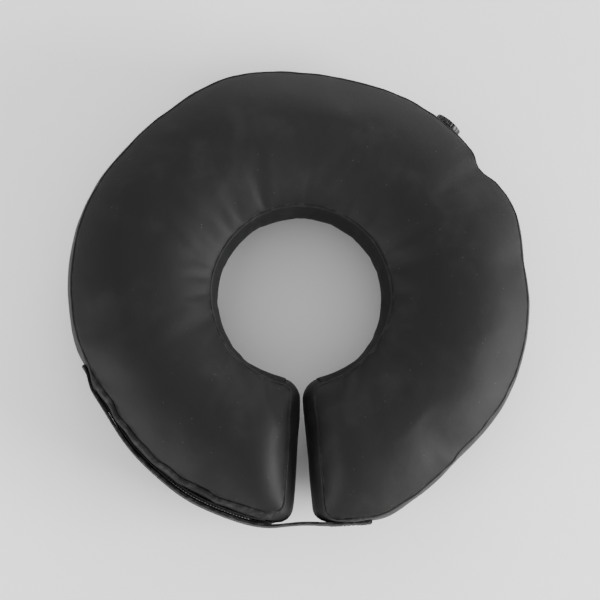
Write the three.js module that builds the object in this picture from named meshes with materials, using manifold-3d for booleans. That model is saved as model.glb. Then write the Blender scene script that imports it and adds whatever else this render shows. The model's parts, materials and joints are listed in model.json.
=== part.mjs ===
// An inflatable recovery collar: a black cloth jacket sewn from two ring panels, a rim gusset and a neck
// band, with a welt along both seams, an air bladder inside and a hook-and-loop strap across the slit.
// The collar lies on its back. Z points up out of the front panel, the slit faces -Y, and the origin is
// the middle of the neck hole on the surface that the collar rests on. Lengths are in millimetres and
// angles are in degrees, counted counter-clockwise from +X as seen from the front.

import * as THREE from "three";
import { mergeVertices } from "three/addons/utils/BufferGeometryUtils.js";
import Module from "manifold-3d";

const { degToRad, radToDeg, euclideanModulo, clamp, lerp, smoothstep } = THREE.MathUtils;
const wasm = await Module();
wasm.setup();

// Driving sizes of the jacket
const OUTER_DIAMETER = 270;
const NECK_DIAMETER = 96;
const GUSSET_HEIGHT = 32;
const FRONT_RISE = 16.5;
const BACK_DROP = 15.5;
const RIM_BULGE = 3.5;
const NECK_BULGE = 4.5;
const END_BULGE = 5.5;
const CLOTH = 1.5;
const WELT_DIAMETER = 2.2;

// The slit between the two ends, narrow at the neck and wide at the rim
const SLIT_AT = -89.2;
const SLIT_AT_NECK = 0.9;
const SLIT_AT_RIM = 12.6;
const RIGHT_CORNER = 6;
const LEFT_CORNER = 9;
const NECK_CORNER = 5;

// How far from an end the panels reach their full height
const END_REACH = 32;

// The back panel would drop this many times its real drop if nothing held it up, so its middle is flat
const BACK_FLATTENING = 1.2;

// How full the tube is across: 2 is a parabola, and more is flatter on top and steeper at the seams
const FULLNESS = 2.3;

// The strap, the two tapes under it, and where they start and stop round the rim. The strap's tip is bare
// of tape, and lies flat on the gusset over its last degrees.
const STRAP_WIDTH = 24;
const STRAP_THICKNESS = 1.5;
const TAPE_WIDTH = 21;
const TAPE_THICKNESS = 1;
const STRAP_ROOT_AT = 287.5;
const STRAP_TIP_AT = 198;
const LOOP_TAPE_AT = 261;
const HOOK_TAPE_AT = 257.5;
const TAPE_TIP_SETBACK = 7;
const TIP_FLAT = 0.8;

// The strap is pulled down into the rim by this share of the rim's bulge, and over this many degrees
const STRAP_PRESS = 0.85;
const PRESS_SPAN = 10;

// The bladder and its valve
const FILM = 1;
const BLADDER_CLEARANCE = 2.2;
const BLADDER_END_CLEARANCE = 5;
const BLADDER_END_REACH = 27;
const VALVE_AT = 50;
const VALVE_STEM_DIAMETER = 11;
const VALVE_CAP_DIAMETER = 17;
const VALVE_CAP_HEIGHT = 3;
const VALVE_STEM_INSIDE = 6;

// Clearances: between pieces that meet along a seam, and between layers that lie on the rim
const GAP = 0.3;
const LAYER_GAP = 0.65;
const NECK_SEAM_GAP = 0.5;
const FACET_ALLOWANCE = 0.1;

// How finely the cloth is faceted
const RING_STEPS = 50;
const PANEL_STEPS = 8;
const GUSSET_STEPS = 5;
const WELT_SIDES = 5;
const BAND_STEP = 3.6;
const BAND_COLUMNS = 4;
const BLADDER_STEPS = 35;
const BLADDER_SIDES = 10;

// Swells and dents of the rim seam. Rise is a share of the tube's width, negative for a dent.
const RIM_SWELLS = [
  { at: 8, spread: 5, rise: -0.014 },
  { at: 23, spread: 8, rise: 0.025 },
  { at: 35, spread: 5, rise: -0.041 },
  { at: 80, spread: 16, rise: -0.015 },
  { at: 109, spread: 13, rise: 0.032 },
  { at: 160, spread: 16, rise: 0.026 },
  { at: 194, spread: 10, rise: -0.011 },
  { at: 211, spread: 12, rise: -0.055 },
  { at: 230, spread: 12, rise: -0.037 },
  { at: 250, spread: 10, rise: -0.021 },
  { at: 268, spread: 8, rise: -0.028 },
  { at: 289, spread: 8, rise: 0.03 },
  { at: 316, spread: 13, rise: -0.039 },
];

// Folds that run in from the rim seam over the front panel. Depth is a share of the panel's rise, and
// reach a share of the panel's width.
const FRONT_FOLDS = [
  { at: 34, spread: 7, depth: 0.28, reach: 0.5 },
  { at: 76, spread: 7, depth: 0.13, reach: 0.36 },
  { at: 132, spread: 8, depth: 0.14, reach: 0.38 },
  { at: 188, spread: 7, depth: 0.16, reach: 0.36 },
  { at: 209, spread: 7, depth: 0.23, reach: 0.42 },
  { at: 227, spread: 7, depth: 0.28, reach: 0.46 },
  { at: 245, spread: 7, depth: 0.17, reach: 0.36 },
  { at: 312, spread: 7, depth: 0.18, reach: 0.4 },
  { at: 341, spread: 7, depth: 0.12, reach: 0.34 },
];

// Sizes that follow from those above
const TUBE_WIDTH = (OUTER_DIAMETER - NECK_DIAMETER) / 2;
const NECK_SEAM = NECK_DIAMETER / 2 + NECK_BULGE;
const BACK_SEAM_Z = BACK_DROP;
const FRONT_SEAM_Z = BACK_SEAM_Z + GUSSET_HEIGHT;
const TOP_Z = FRONT_SEAM_Z + FRONT_RISE;
const MIDDLE_Z = (BACK_SEAM_Z + FRONT_SEAM_Z) / 2;
const SEAM_INSET = WELT_DIAMETER / 2 + GAP + FACET_ALLOWANCE;
const DEEPEST_FOLD = FRONT_RISE * Math.max(...FRONT_FOLDS.map((row) => row.depth));
const FULL_TURN = 360;

const square = (x) => x * x;
const range = (count) => Array.from({ length: count }, (_, i) => i);

// Shares from 0 to 1: closer together near both ends, where the corners are, and even
const shares = (steps) => range(steps + 1).map((i) => (1 - Math.cos((Math.PI * i) / steps)) / 2);
const evenShares = (steps) => range(steps + 1).map((i) => i / steps);

// The point of the plan at a radius and an angle
function atAngle(radius, angle) {
  return new THREE.Vector2(radius * Math.cos(degToRad(angle)), radius * Math.sin(degToRad(angle)));
}

const angleOf = (point) => radToDeg(point.angle());

// The turn from one angle to another, from -180 to 180 degrees
function turnBetween(from, to) {
  return euclideanModulo(to - from + FULL_TURN / 2, FULL_TURN) - FULL_TURN / 2;
}

// 1 at the angle of a row of a table, and falling away to both sides over its spread
function nearness(row, angle) {
  return Math.exp(-square(turnBetween(row.at, angle) / row.spread));
}

// The radius of the rim seam, with the outline's swells and dents
function rimSeam(angle) {
  const swell = RIM_SWELLS.reduce((sum, row) => sum + row.rise * nearness(row, angle), 0);
  return OUTER_DIAMETER / 2 - RIM_BULGE + swell * TUBE_WIDTH;
}

// The direction out from the middle of the collar at an angle
function outwardAt(angle) {
  return new THREE.Vector3(Math.cos(degToRad(angle)), Math.sin(degToRad(angle)), 0);
}

// How far the rim's wall stands out past its seams at mid height, less where the strap presses it
function rimBulge(angle) {
  const turned = euclideanModulo(angle, FULL_TURN);
  const pastTip = smoothstep(turned, STRAP_TIP_AT - PRESS_SPAN / 2, STRAP_TIP_AT + PRESS_SPAN / 2);
  const beforeRoot = 1 - smoothstep(turned, STRAP_ROOT_AT - PRESS_SPAN / 2, STRAP_ROOT_AT + PRESS_SPAN / 2);
  return RIM_BULGE * (1 - STRAP_PRESS * pastTip * beforeRoot);
}

// Half the width of the slit at a radius
function slitHalf(radius) {
  const share = (radius - NECK_SEAM) / (OUTER_DIAMETER / 2 - NECK_SEAM);
  return lerp(SLIT_AT_NECK, SLIT_AT_RIM, clamp(share, 0, 1)) / 2;
}

// How far a rounded corner draws an edge back, for a point this far past the start of the corner
function cornerSetback(past, corner) {
  return past > 0 ? corner - Math.sqrt(Math.max(0, square(corner) - square(past))) : 0;
}

// The angle from the slit's middle to the edge of the jacket's end, at a radius. Inset draws the edge in.
function endAngle(radius, rim, corner, inset) {
  const rimCorner = corner - inset;
  const neckCorner = NECK_CORNER - inset;
  const setback =
    slitHalf(radius) +
    END_BULGE +
    inset +
    cornerSetback(radius - (rim - inset - rimCorner), rimCorner) +
    cornerSetback(NECK_SEAM + inset + neckCorner - radius, neckCorner);
  return Math.asin(setback / radius);
}

// A point of the panels' plan: u runs round the ring from the right end to the left end, v from the
// neck seam to the rim seam, and inset draws the whole outline in. The rim's swells depend on the
// angle, and the angle on the rim, so each is found from the other a few times.
function planPoint(u, v, inset = 0) {
  let angle = SLIT_AT + FULL_TURN * u;
  let radius = 0;
  for (const _ of range(3)) {
    const rim = rimSeam(angle);
    radius = lerp(NECK_SEAM + inset, rim - inset, v);
    const right = endAngle(radius, rim, RIGHT_CORNER, inset);
    const left = endAngle(radius, rim, LEFT_CORNER, inset);
    angle = SLIT_AT + radToDeg(lerp(right, 2 * Math.PI - left, u));
  }
  return atAngle(radius, angle);
}

// How far a point of the plan lies from the nearer end's seam
function distanceFromEnd(point) {
  const turn = degToRad(turnBetween(SLIT_AT, angleOf(point)));
  const radius = point.length();
  if (Math.abs(turn) > Math.PI / 2) return radius;
  return Math.abs(radius * Math.sin(turn)) - slitHalf(radius) - END_BULGE;
}

// 0 at an end of the jacket, rising smoothly to 1 at the given reach
function awayFromEnd(point, reach) {
  return 1 - square(1 - clamp(distanceFromEnd(point) / reach, 0, 1));
}

// The share of the panel's width that a point lies out from the neck seam
function shareAcross(point) {
  return clamp((point.length() - NECK_SEAM) / (rimSeam(angleOf(point)) - NECK_SEAM), 0, 1);
}

// The shape of air under cloth: 0 on the seams and 1 along the middle of the tube
function pillow(point) {
  return (1 - Math.abs(2 * shareAcross(point) - 1) ** FULLNESS) * awayFromEnd(point, END_REACH);
}

// How deep the folds are at a point, as a share of the panel's rise
function foldDepth(point) {
  const across = shareAcross(point);
  return FRONT_FOLDS.reduce((sum, row) => {
    const along = clamp((across - 1 + row.reach) / row.reach, 0, 1);
    return sum + row.depth * nearness(row, angleOf(point)) * 4 * along * (1 - along);
  }, 0);
}

const smoothFrontHeight = (point) => FRONT_SEAM_Z + FRONT_RISE * pillow(point);
const frontHeight = (point) => smoothFrontHeight(point) - FRONT_RISE * foldDepth(point);

const backHeight = (point) => Math.max(0, BACK_SEAM_Z - BACK_DROP * BACK_FLATTENING * pillow(point));

// The upward unit normal of a height over the plan, by differences over a small step
function heightNormal(height, point) {
  const step = 0.05;
  const slope = (dx, dy) =>
    (height(new THREE.Vector2(point.x + dx, point.y + dy)) -
      height(new THREE.Vector2(point.x - dx, point.y - dy))) /
    (2 * step);
  return new THREE.Vector3(-slope(step, 0), -slope(0, step), 1).normalize();
}

// Skins a row of rings of points. The ends are closed by ladders of quads, unless the row is a loop.
// Faces point out where going along a ring and then along the row turns to the right.
function loft(rings, isLoop = false) {
  const count = rings[0].length;
  const last = rings.length - 1;
  const at = (ring, point) => (ring % rings.length) * count + (point % count);
  const index = [];
  const quad = (a, b, c, d) => index.push(a, b, c, a, c, d);
  for (const i of range(isLoop ? rings.length : last)) {
    for (const j of range(count)) quad(at(i, j), at(i, j + 1), at(i + 1, j + 1), at(i + 1, j));
  }
  if (!isLoop) {
    for (const j of range(count / 2 - 1)) {
      const k = count - 1 - j;
      quad(at(0, j), at(0, k), at(0, k - 1), at(0, j + 1));
      quad(at(last, j), at(last, j + 1), at(last, k - 1), at(last, k));
    }
  }
  const positions = rings.flat().flatMap((point) => point.toArray());
  const geometry = new THREE.BufferGeometry();
  geometry.setAttribute("position", new THREE.Float32BufferAttribute(positions, 3));
  geometry.setIndex(index);
  geometry.computeVertexNormals();
  return geometry;
}

// A ring round one strip of cloth: its outer face one way, and its inner face back
function clothRing(outer, inward, thickness) {
  const inner = outer.map((point, i) => point.clone().addScaledVector(inward[i], thickness));
  return [...outer, ...inner.reverse()];
}

// A ring panel: a height over the plan, with its outer face on the side that the sign gives
function panelGeometry(height, sign) {
  const columns = sign > 0 ? shares(PANEL_STEPS) : shares(PANEL_STEPS).reverse();
  const rings = evenShares(RING_STEPS).map((u) => {
    const plan = columns.map((v) => planPoint(u, v, SEAM_INSET));
    const outer = plan.map((point) => new THREE.Vector3(point.x, point.y, height(point)));
    const inward = plan.map((point) => heightNormal(height, point).multiplyScalar(-sign));
    return clothRing(outer, inward, CLOTH);
  });
  return loft(rings);
}

// The seams' plan, once round the jacket: out along the right end, round the rim, in along the left
// end and back round the neck. Each stop has its point, its outward direction and the wall's bulge.
function seamStops() {
  const ends = shares(PANEL_STEPS);
  const ring = evenShares(RING_STEPS);
  const backwards = (list) => [...list].reverse();
  const route = [
    ...ends.slice(0, -1).map((v) => ({ u: 0, v, side: "rim" })),
    ...ring.map((u) => ({ u, v: 1, side: "rim" })),
    ...backwards(ends).slice(1).map((v) => ({ u: 1, v, side: "rim" })),
    ...backwards(ring).slice(1, -1).map((u) => ({ u, v: 0, side: "neck" })),
  ];
  const points = route.map(({ u, v }) => planPoint(u, v));
  return route.map(({ v, side }, i) => {
    const before = points[(i + points.length - 1) % points.length];
    const after = points[(i + 1) % points.length];
    const along = after.clone().sub(before).normalize();
    const outward = new THREE.Vector3(along.y, -along.x, 0);
    const facesOut = square(outward.dot(outwardAt(angleOf(points[i]))));
    const full = v > 0.5 ? rimBulge(angleOf(points[i])) : NECK_BULGE;
    return { point: points[i], outward, bulge: lerp(END_BULGE, full, facesOut), side };
  });
}

// A copy of a stop, moved a little way towards another
function movedTowards(stop, other, distance) {
  const way = other.point.clone().sub(stop.point).setLength(distance);
  return { ...stop, point: stop.point.clone().add(way) };
}

const SEAM_STOPS = seamStops();
const RIM_STOPS = SEAM_STOPS.filter((stop) => stop.side === "rim");
const INNER_STOPS = SEAM_STOPS.filter((stop) => stop.side === "neck");
const NECK_STOPS = [
  movedTowards(RIM_STOPS.at(-1), INNER_STOPS[0], NECK_SEAM_GAP),
  ...INNER_STOPS,
  movedTowards(RIM_STOPS[0], INNER_STOPS.at(-1), NECK_SEAM_GAP),
];

// How far a wall stands out at a share of its height, as a share of its bulge, and how fast that changes
const bulgeShare = (t) => 4 * t * (1 - t);
const bulgeSlope = (t) => 4 - 8 * t;

// A wall from seam to seam that bulges between them, along a row of stops
function wallGeometry(stops, steps) {
  const margin = SEAM_INSET / GUSSET_HEIGHT;
  const heights = evenShares(steps).map((share) => lerp(1 - margin, margin, share));
  const rings = stops.map(({ point, outward, bulge }) => {
    const outer = heights.map((t) =>
      new THREE.Vector3(point.x, point.y, lerp(BACK_SEAM_Z, FRONT_SEAM_Z, t)).addScaledVector(
        outward,
        bulge * bulgeShare(t),
      ),
    );
    const inward = heights.map((t) =>
      outward
        .clone()
        .multiplyScalar(-GUSSET_HEIGHT)
        .setZ(bulge * bulgeSlope(t))
        .normalize(),
    );
    return clothRing(outer, inward, CLOTH);
  });
  return loft(rings);
}

// A welt: a cord covered in cloth, all the way round a seam
function weltGeometry(z) {
  const rings = SEAM_STOPS.map(({ point, outward }) =>
    range(WELT_SIDES).map((side) => {
      const angle = (-2 * Math.PI * side) / WELT_SIDES;
      return new THREE.Vector3(point.x, point.y, z)
        .addScaledVector(outward, (WELT_DIAMETER / 2) * Math.cos(angle))
        .setZ(z + (WELT_DIAMETER / 2) * Math.sin(angle));
    }),
  );
  return loft(rings, true);
}

// The radius of the rim's outer face at an angle and a height
function rimFace(angle, z) {
  return rimSeam(angle) + rimBulge(angle) * bulgeShare((z - BACK_SEAM_Z) / GUSSET_HEIGHT);
}

// A band that lies round the rim between two angles, at a lift from the rim that may change with the angle
function rimBandGeometry(from, to, width, thickness, lift) {
  const rings = evenShares(Math.round((to - from) / BAND_STEP)).map((share) => {
    const angle = lerp(from, to, share);
    const direction = outwardAt(angle);
    const outer = evenShares(BAND_COLUMNS).map((across) => {
      const z = MIDDLE_Z + lerp(width, -width, across) / 2;
      return direction.clone().multiplyScalar(rimFace(angle, z) + lift(angle) + thickness).setZ(z);
    });
    return clothRing(outer, outer.map(() => direction.clone().negate()), thickness);
  });
  return loft(rings);
}

// The layers that lie on the rim, from the gusset out: loop tape, hook tape and strap
const LOOP_TAPE_LIFT = LAYER_GAP;
const HOOK_TAPE_LIFT = LOOP_TAPE_LIFT + TAPE_THICKNESS + GAP;
const STRAP_LIFT = HOOK_TAPE_LIFT + TAPE_THICKNESS + LAYER_GAP;

// The strap lies on the gusset at its root and at its tip, and climbs over the tapes between them
function strapLift(angle) {
  const overTapes = 1 - smoothstep(angle, LOOP_TAPE_AT, LOOP_TAPE_AT + (STRAP_ROOT_AT - LOOP_TAPE_AT) / 2);
  const pastTip = smoothstep(angle, STRAP_TIP_AT + TIP_FLAT, STRAP_TIP_AT + TAPE_TIP_SETBACK - TIP_FLAT / 2);
  return lerp(LAYER_GAP, STRAP_LIFT, overTapes * pastTip);
}

// Whether a point lies inside the jacket, with at least this margin to every wall's outer face
function isInside(point, margin) {
  const plan = new THREE.Vector2(point.x, point.y);
  const radius = plan.length();
  const angle = angleOf(plan);
  const share = bulgeShare(clamp((point.z - BACK_SEAM_Z) / GUSSET_HEIGHT, 0, 1));
  return (
    point.z < smoothFrontHeight(plan) - DEEPEST_FOLD - margin / heightNormal(smoothFrontHeight, plan).z &&
    point.z > backHeight(plan) + margin / heightNormal(backHeight, plan).z &&
    radius < rimSeam(angle) + rimBulge(angle) * share - margin &&
    radius > NECK_SEAM - NECK_BULGE * share + margin &&
    distanceFromEnd(plan) > margin - END_BULGE * share
  );
}

// A point that is a share of the way from the middle of the tube to the jacket's wall, less the margin
function pointToWall(angle, turn, share, margin) {
  const out = outwardAt(angle);
  const middle = out.clone().multiplyScalar(NECK_DIAMETER / 2 + TUBE_WIDTH / 2).setZ(MIDDLE_Z);
  const direction = out.clone().multiplyScalar(Math.cos(turn)).setZ(Math.sin(turn));
  let near = 0;
  let far = TUBE_WIDTH;
  for (const _ of range(16)) {
    const halfway = (near + far) / 2;
    const inside = isInside(middle.clone().addScaledVector(direction, halfway), margin);
    [near, far] = inside ? [halfway, far] : [near, halfway];
  }
  return middle.addScaledVector(direction, near * share);
}

// The bladder's skin: a C of tube whose ends are rounded off
function bladderSkin(inset) {
  const middle = NECK_DIAMETER / 2 + TUBE_WIDTH / 2;
  const start = slitHalf(middle) + CLOTH + BLADDER_END_CLEARANCE + inset;
  const rounded = [0.04, 0.3, 0.65].map((share) => share * BLADDER_END_REACH + start);
  const length = 2 * Math.PI * middle;
  const evenly = evenShares(BLADDER_STEPS).map((share) =>
    lerp(start + BLADDER_END_REACH, length - start - BLADDER_END_REACH, share),
  );
  const stops = [...rounded, ...evenly, ...rounded.map((s) => length - s).reverse()];
  const rings = stops.map((s) => {
    const fromEnd = (Math.min(s, length - s) - start) / BLADDER_END_REACH;
    const share = Math.sqrt(1 - square(1 - clamp(fromEnd, 0, 1)));
    return range(BLADDER_SIDES).map((side) => {
      const turn = (-2 * Math.PI * side) / BLADDER_SIDES;
      const angle = SLIT_AT + (FULL_TURN * s) / length;
      return pointToWall(angle, turn, share, CLOTH + BLADDER_CLEARANCE + inset);
    });
  });
  return loft(rings);
}

function toSolid(geometry) {
  const bare = geometry.clone();
  bare.deleteAttribute("normal");
  bare.deleteAttribute("uv");
  const merged = mergeVertices(bare);
  const mesh = new wasm.Mesh({
    numProp: 3,
    vertProperties: merged.getAttribute("position").array,
    triVerts: new Uint32Array(merged.index.array),
  });
  return new wasm.Manifold(mesh);
}

function toGeometry(solid) {
  const mesh = solid.getMesh();
  const geometry = new THREE.BufferGeometry();
  geometry.setAttribute("position", new THREE.BufferAttribute(mesh.vertProperties, 3));
  geometry.setIndex(new THREE.BufferAttribute(mesh.triVerts, 1));
  geometry.computeVertexNormals();
  return geometry;
}

// The valve stands on the rim. Its own axis is Y, with its cap's underside at 0.
const VALVE_SIDES = 16;
const VALVE_SEAT = rimFace(VALVE_AT, MIDDLE_Z) + GAP;
const VALVE_STEM_LENGTH = GAP + CLOTH + BLADDER_CLEARANCE + FILM + VALVE_STEM_INSIDE;

function placeOnRim(object) {
  object.rotation.set(0, 0, degToRad(VALVE_AT) - Math.PI / 2);
  object.position.copy(outwardAt(VALVE_AT)).multiplyScalar(VALVE_SEAT).setZ(MIDDLE_Z);
  object.updateMatrix();
  return object;
}

function valveGeometry() {
  const stem = VALVE_STEM_DIAMETER / 2;
  const cap = VALVE_CAP_DIAMETER / 2;
  const chamfer = VALVE_CAP_HEIGHT / 3;
  const profile = [
    [0, -VALVE_STEM_LENGTH],
    [stem, -VALVE_STEM_LENGTH],
    [stem, 0],
    [cap, 0],
    [cap, VALVE_CAP_HEIGHT - chamfer],
    [cap - chamfer, VALVE_CAP_HEIGHT],
    [0, VALVE_CAP_HEIGHT],
  ].map(([x, y]) => new THREE.Vector2(x, y));
  return new THREE.LatheGeometry(profile, VALVE_SIDES);
}

// The cutter for the valve's hole, long enough to pass the gusset and the bladder's wall
function valveHole() {
  const length = 2 * (VALVE_STEM_LENGTH + GAP);
  const cylinder = new THREE.CylinderGeometry(
    VALVE_STEM_DIAMETER / 2 + GAP,
    VALVE_STEM_DIAMETER / 2 + GAP,
    length,
    VALVE_SIDES,
  );
  const placed = placeOnRim(new THREE.Object3D());
  return toSolid(cylinder.applyMatrix4(placed.matrix));
}

const VALVE_HOLE = valveHole();

function bladderGeometry() {
  const hollow = toSolid(bladderSkin(0)).subtract(toSolid(bladderSkin(FILM)));
  return toGeometry(hollow.subtract(VALVE_HOLE));
}

const jacketCloth = new THREE.MeshStandardMaterial({ color: 0x2b2b2c, roughness: 0.82, metalness: 0 });
const neckCloth = new THREE.MeshStandardMaterial({ color: 0x242425, roughness: 0.9, metalness: 0 });
const weltCloth = new THREE.MeshStandardMaterial({ color: 0x333334, roughness: 0.75, metalness: 0 });
const strapWebbing = new THREE.MeshStandardMaterial({ color: 0x1c1c1d, roughness: 0.85, metalness: 0 });
const fasteningTape = new THREE.MeshStandardMaterial({ color: 0x161617, roughness: 0.95, metalness: 0 });
const bladderFilm = new THREE.MeshStandardMaterial({ color: 0xc9cdd0, roughness: 0.35, metalness: 0 });
const valvePlastic = new THREE.MeshStandardMaterial({ color: 0x202123, roughness: 0.4, metalness: 0 });

function named(name, geometry, material) {
  const mesh = new THREE.Mesh(geometry, material);
  mesh.name = name;
  return mesh;
}

const jacket = new THREE.Group();
jacket.add(
  named("front_panel", panelGeometry(frontHeight, 1), jacketCloth),
  named("back_panel", panelGeometry(backHeight, -1), jacketCloth),
  named("rim_gusset", toGeometry(toSolid(wallGeometry(RIM_STOPS, GUSSET_STEPS)).subtract(VALVE_HOLE)), jacketCloth),
  named("neck_band", wallGeometry(NECK_STOPS, GUSSET_STEPS - 1), neckCloth),
  named("front_welt", weltGeometry(FRONT_SEAM_Z), weltCloth),
  named("back_welt", weltGeometry(BACK_SEAM_Z), weltCloth),
);

const closure = new THREE.Group();
const tapeTip = STRAP_TIP_AT + TAPE_TIP_SETBACK;
closure.add(
  named(
    "loop_tape",
    rimBandGeometry(tapeTip, LOOP_TAPE_AT, TAPE_WIDTH, TAPE_THICKNESS, () => LOOP_TAPE_LIFT),
    fasteningTape,
  ),
  named(
    "hook_tape",
    rimBandGeometry(tapeTip, HOOK_TAPE_AT, TAPE_WIDTH, TAPE_THICKNESS, () => HOOK_TAPE_LIFT),
    fasteningTape,
  ),
  named(
    "closure_strap",
    rimBandGeometry(STRAP_TIP_AT, STRAP_ROOT_AT, STRAP_WIDTH, STRAP_THICKNESS, strapLift),
    strapWebbing,
  ),
);

const air = new THREE.Group();
air.add(
  named("bladder", bladderGeometry(), bladderFilm),
  placeOnRim(named("valve", valveGeometry(), valvePlastic)),
);

const collar = new THREE.Group();
collar.add(jacket, closure, air);

export default collar;
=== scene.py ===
"""The looks of an inflatable recovery collar: a black cloth jacket blown up by a bladder, closed by a strap.

The shape classes work in millimetres and degrees, counted counter-clockwise from +X as seen from the
front, like the collar's solids. Meshes are in metres.
"""

import json
import logging
import math
from collections.abc import Callable, Sequence
from dataclasses import dataclass, field
from enum import Enum

import bmesh
import bpy
import numpy as np
from mathutils import Matrix, Vector

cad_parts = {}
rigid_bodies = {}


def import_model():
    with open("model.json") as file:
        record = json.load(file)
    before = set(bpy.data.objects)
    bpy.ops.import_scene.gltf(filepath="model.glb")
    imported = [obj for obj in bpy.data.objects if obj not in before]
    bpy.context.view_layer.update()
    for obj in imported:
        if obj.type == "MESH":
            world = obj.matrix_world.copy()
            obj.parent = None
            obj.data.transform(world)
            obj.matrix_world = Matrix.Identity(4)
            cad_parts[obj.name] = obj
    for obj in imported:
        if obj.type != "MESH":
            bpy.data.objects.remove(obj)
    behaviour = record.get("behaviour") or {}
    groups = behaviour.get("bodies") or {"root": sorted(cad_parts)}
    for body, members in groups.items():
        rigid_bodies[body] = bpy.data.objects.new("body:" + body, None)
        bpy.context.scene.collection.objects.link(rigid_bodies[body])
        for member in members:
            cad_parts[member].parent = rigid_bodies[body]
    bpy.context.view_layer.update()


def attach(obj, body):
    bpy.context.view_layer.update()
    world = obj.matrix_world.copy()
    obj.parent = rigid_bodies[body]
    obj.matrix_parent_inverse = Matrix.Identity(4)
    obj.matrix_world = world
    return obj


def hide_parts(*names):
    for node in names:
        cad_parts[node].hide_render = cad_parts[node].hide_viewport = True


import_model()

LOG = logging.getLogger("collar")
MM = 0.001

Number = float | np.ndarray
Face = tuple[int, ...]
Piece = bpy.types.Object
Material = bpy.types.Material
Tree = bpy.types.NodeTree
Node = bpy.types.Node
Socket = bpy.types.NodeSocket
Sockets = bpy.types.NodeOutputs
Plug = float | tuple[float, ...] | Socket
Inputs = dict[str | int, Plug]


def lerp(start: Number, end: Number, share: Number) -> Number:
    """The value a share of the way from start to end."""
    return start + (end - start) * share


def smoothstep(value: Number, low: float, high: float) -> Number:
    """0 below low, 1 above high and a smooth rise between them."""
    share = np.clip((value - low) / (high - low), 0.0, 1.0)
    return share * share * (3.0 - 2.0 * share)


def arch(share: Number) -> Number:
    """0 at both ends of a span and 1 in its middle, as a parabola."""
    return 4 * share * (1 - share)


def turn_between(start: Number, end: Number) -> Number:
    """The turn from one angle to another, from -180 to 180 degrees."""
    return (end - start + 180.0) % 360.0 - 180.0


def polar(place: np.ndarray) -> tuple[np.ndarray, np.ndarray]:
    """The angles and the radii of points, which have x and y first along the last axis."""
    return np.degrees(np.arctan2(place[..., 1], place[..., 0])), np.hypot(place[..., 0], place[..., 1])


def steps_along(line: np.ndarray) -> np.ndarray:
    """The distance from each point of a closed line to the next."""
    return np.linalg.norm(np.roll(line, -1, axis=0) - line, axis=1)


def lengths_along(line: np.ndarray) -> np.ndarray:
    """How far along a closed line each of its points lies."""
    return np.concatenate(([0.0], np.cumsum(steps_along(line))[:-1]))


def directions_along(line: np.ndarray) -> np.ndarray:
    """The direction of a closed line at each of its points."""
    along = np.roll(line, -1, axis=0) - np.roll(line, 1, axis=0)
    return along / np.linalg.norm(along, axis=1)[:, None]


def loop_noise(lengths: np.ndarray, spacing: float, seed: int) -> np.ndarray:
    """Smooth random waves along a closed line.

    Args:
        lengths: How far along the line each point lies. The last is followed by the first.
        spacing: The usual distance between waves.
        seed: The number that picks the waves.

    Returns:
        A value from about -1 to 1 for each point.
    """
    total = lengths[-1] + (lengths[-1] - lengths[-2])
    count = max(4, int(round(total / spacing)))
    knots = np.random.default_rng(seed).uniform(-1, 1, count)
    place = lengths / total * count
    before = np.floor(place).astype(int)
    share = smoothstep(place - before, 0.0, 1.0)
    return lerp(knots[before % count], knots[(before + 1) % count], share)


@dataclass(frozen=True)
class Row:
    """One swell, dent, fold or pucker round the rim.

    Args:
        at: The angle it is at.
        spread: How far it fades to both sides, in degrees.
        size: How large it is.
        reach: How far in from the rim it runs, as a share of the panel's width.
    """

    at: float
    spread: float
    size: float
    reach: float = 0.0

    def nearness(self, angle: np.ndarray) -> np.ndarray:
        """1 at the row's angle, falling away to both sides."""
        return np.exp(-((turn_between(self.at, angle) / self.spread) ** 2))


def sum_of_rows(rows: Sequence[Row], angle: np.ndarray) -> np.ndarray:
    """The rows' sizes at an angle, added up."""
    return sum(row.size * row.nearness(angle) for row in rows)


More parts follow.
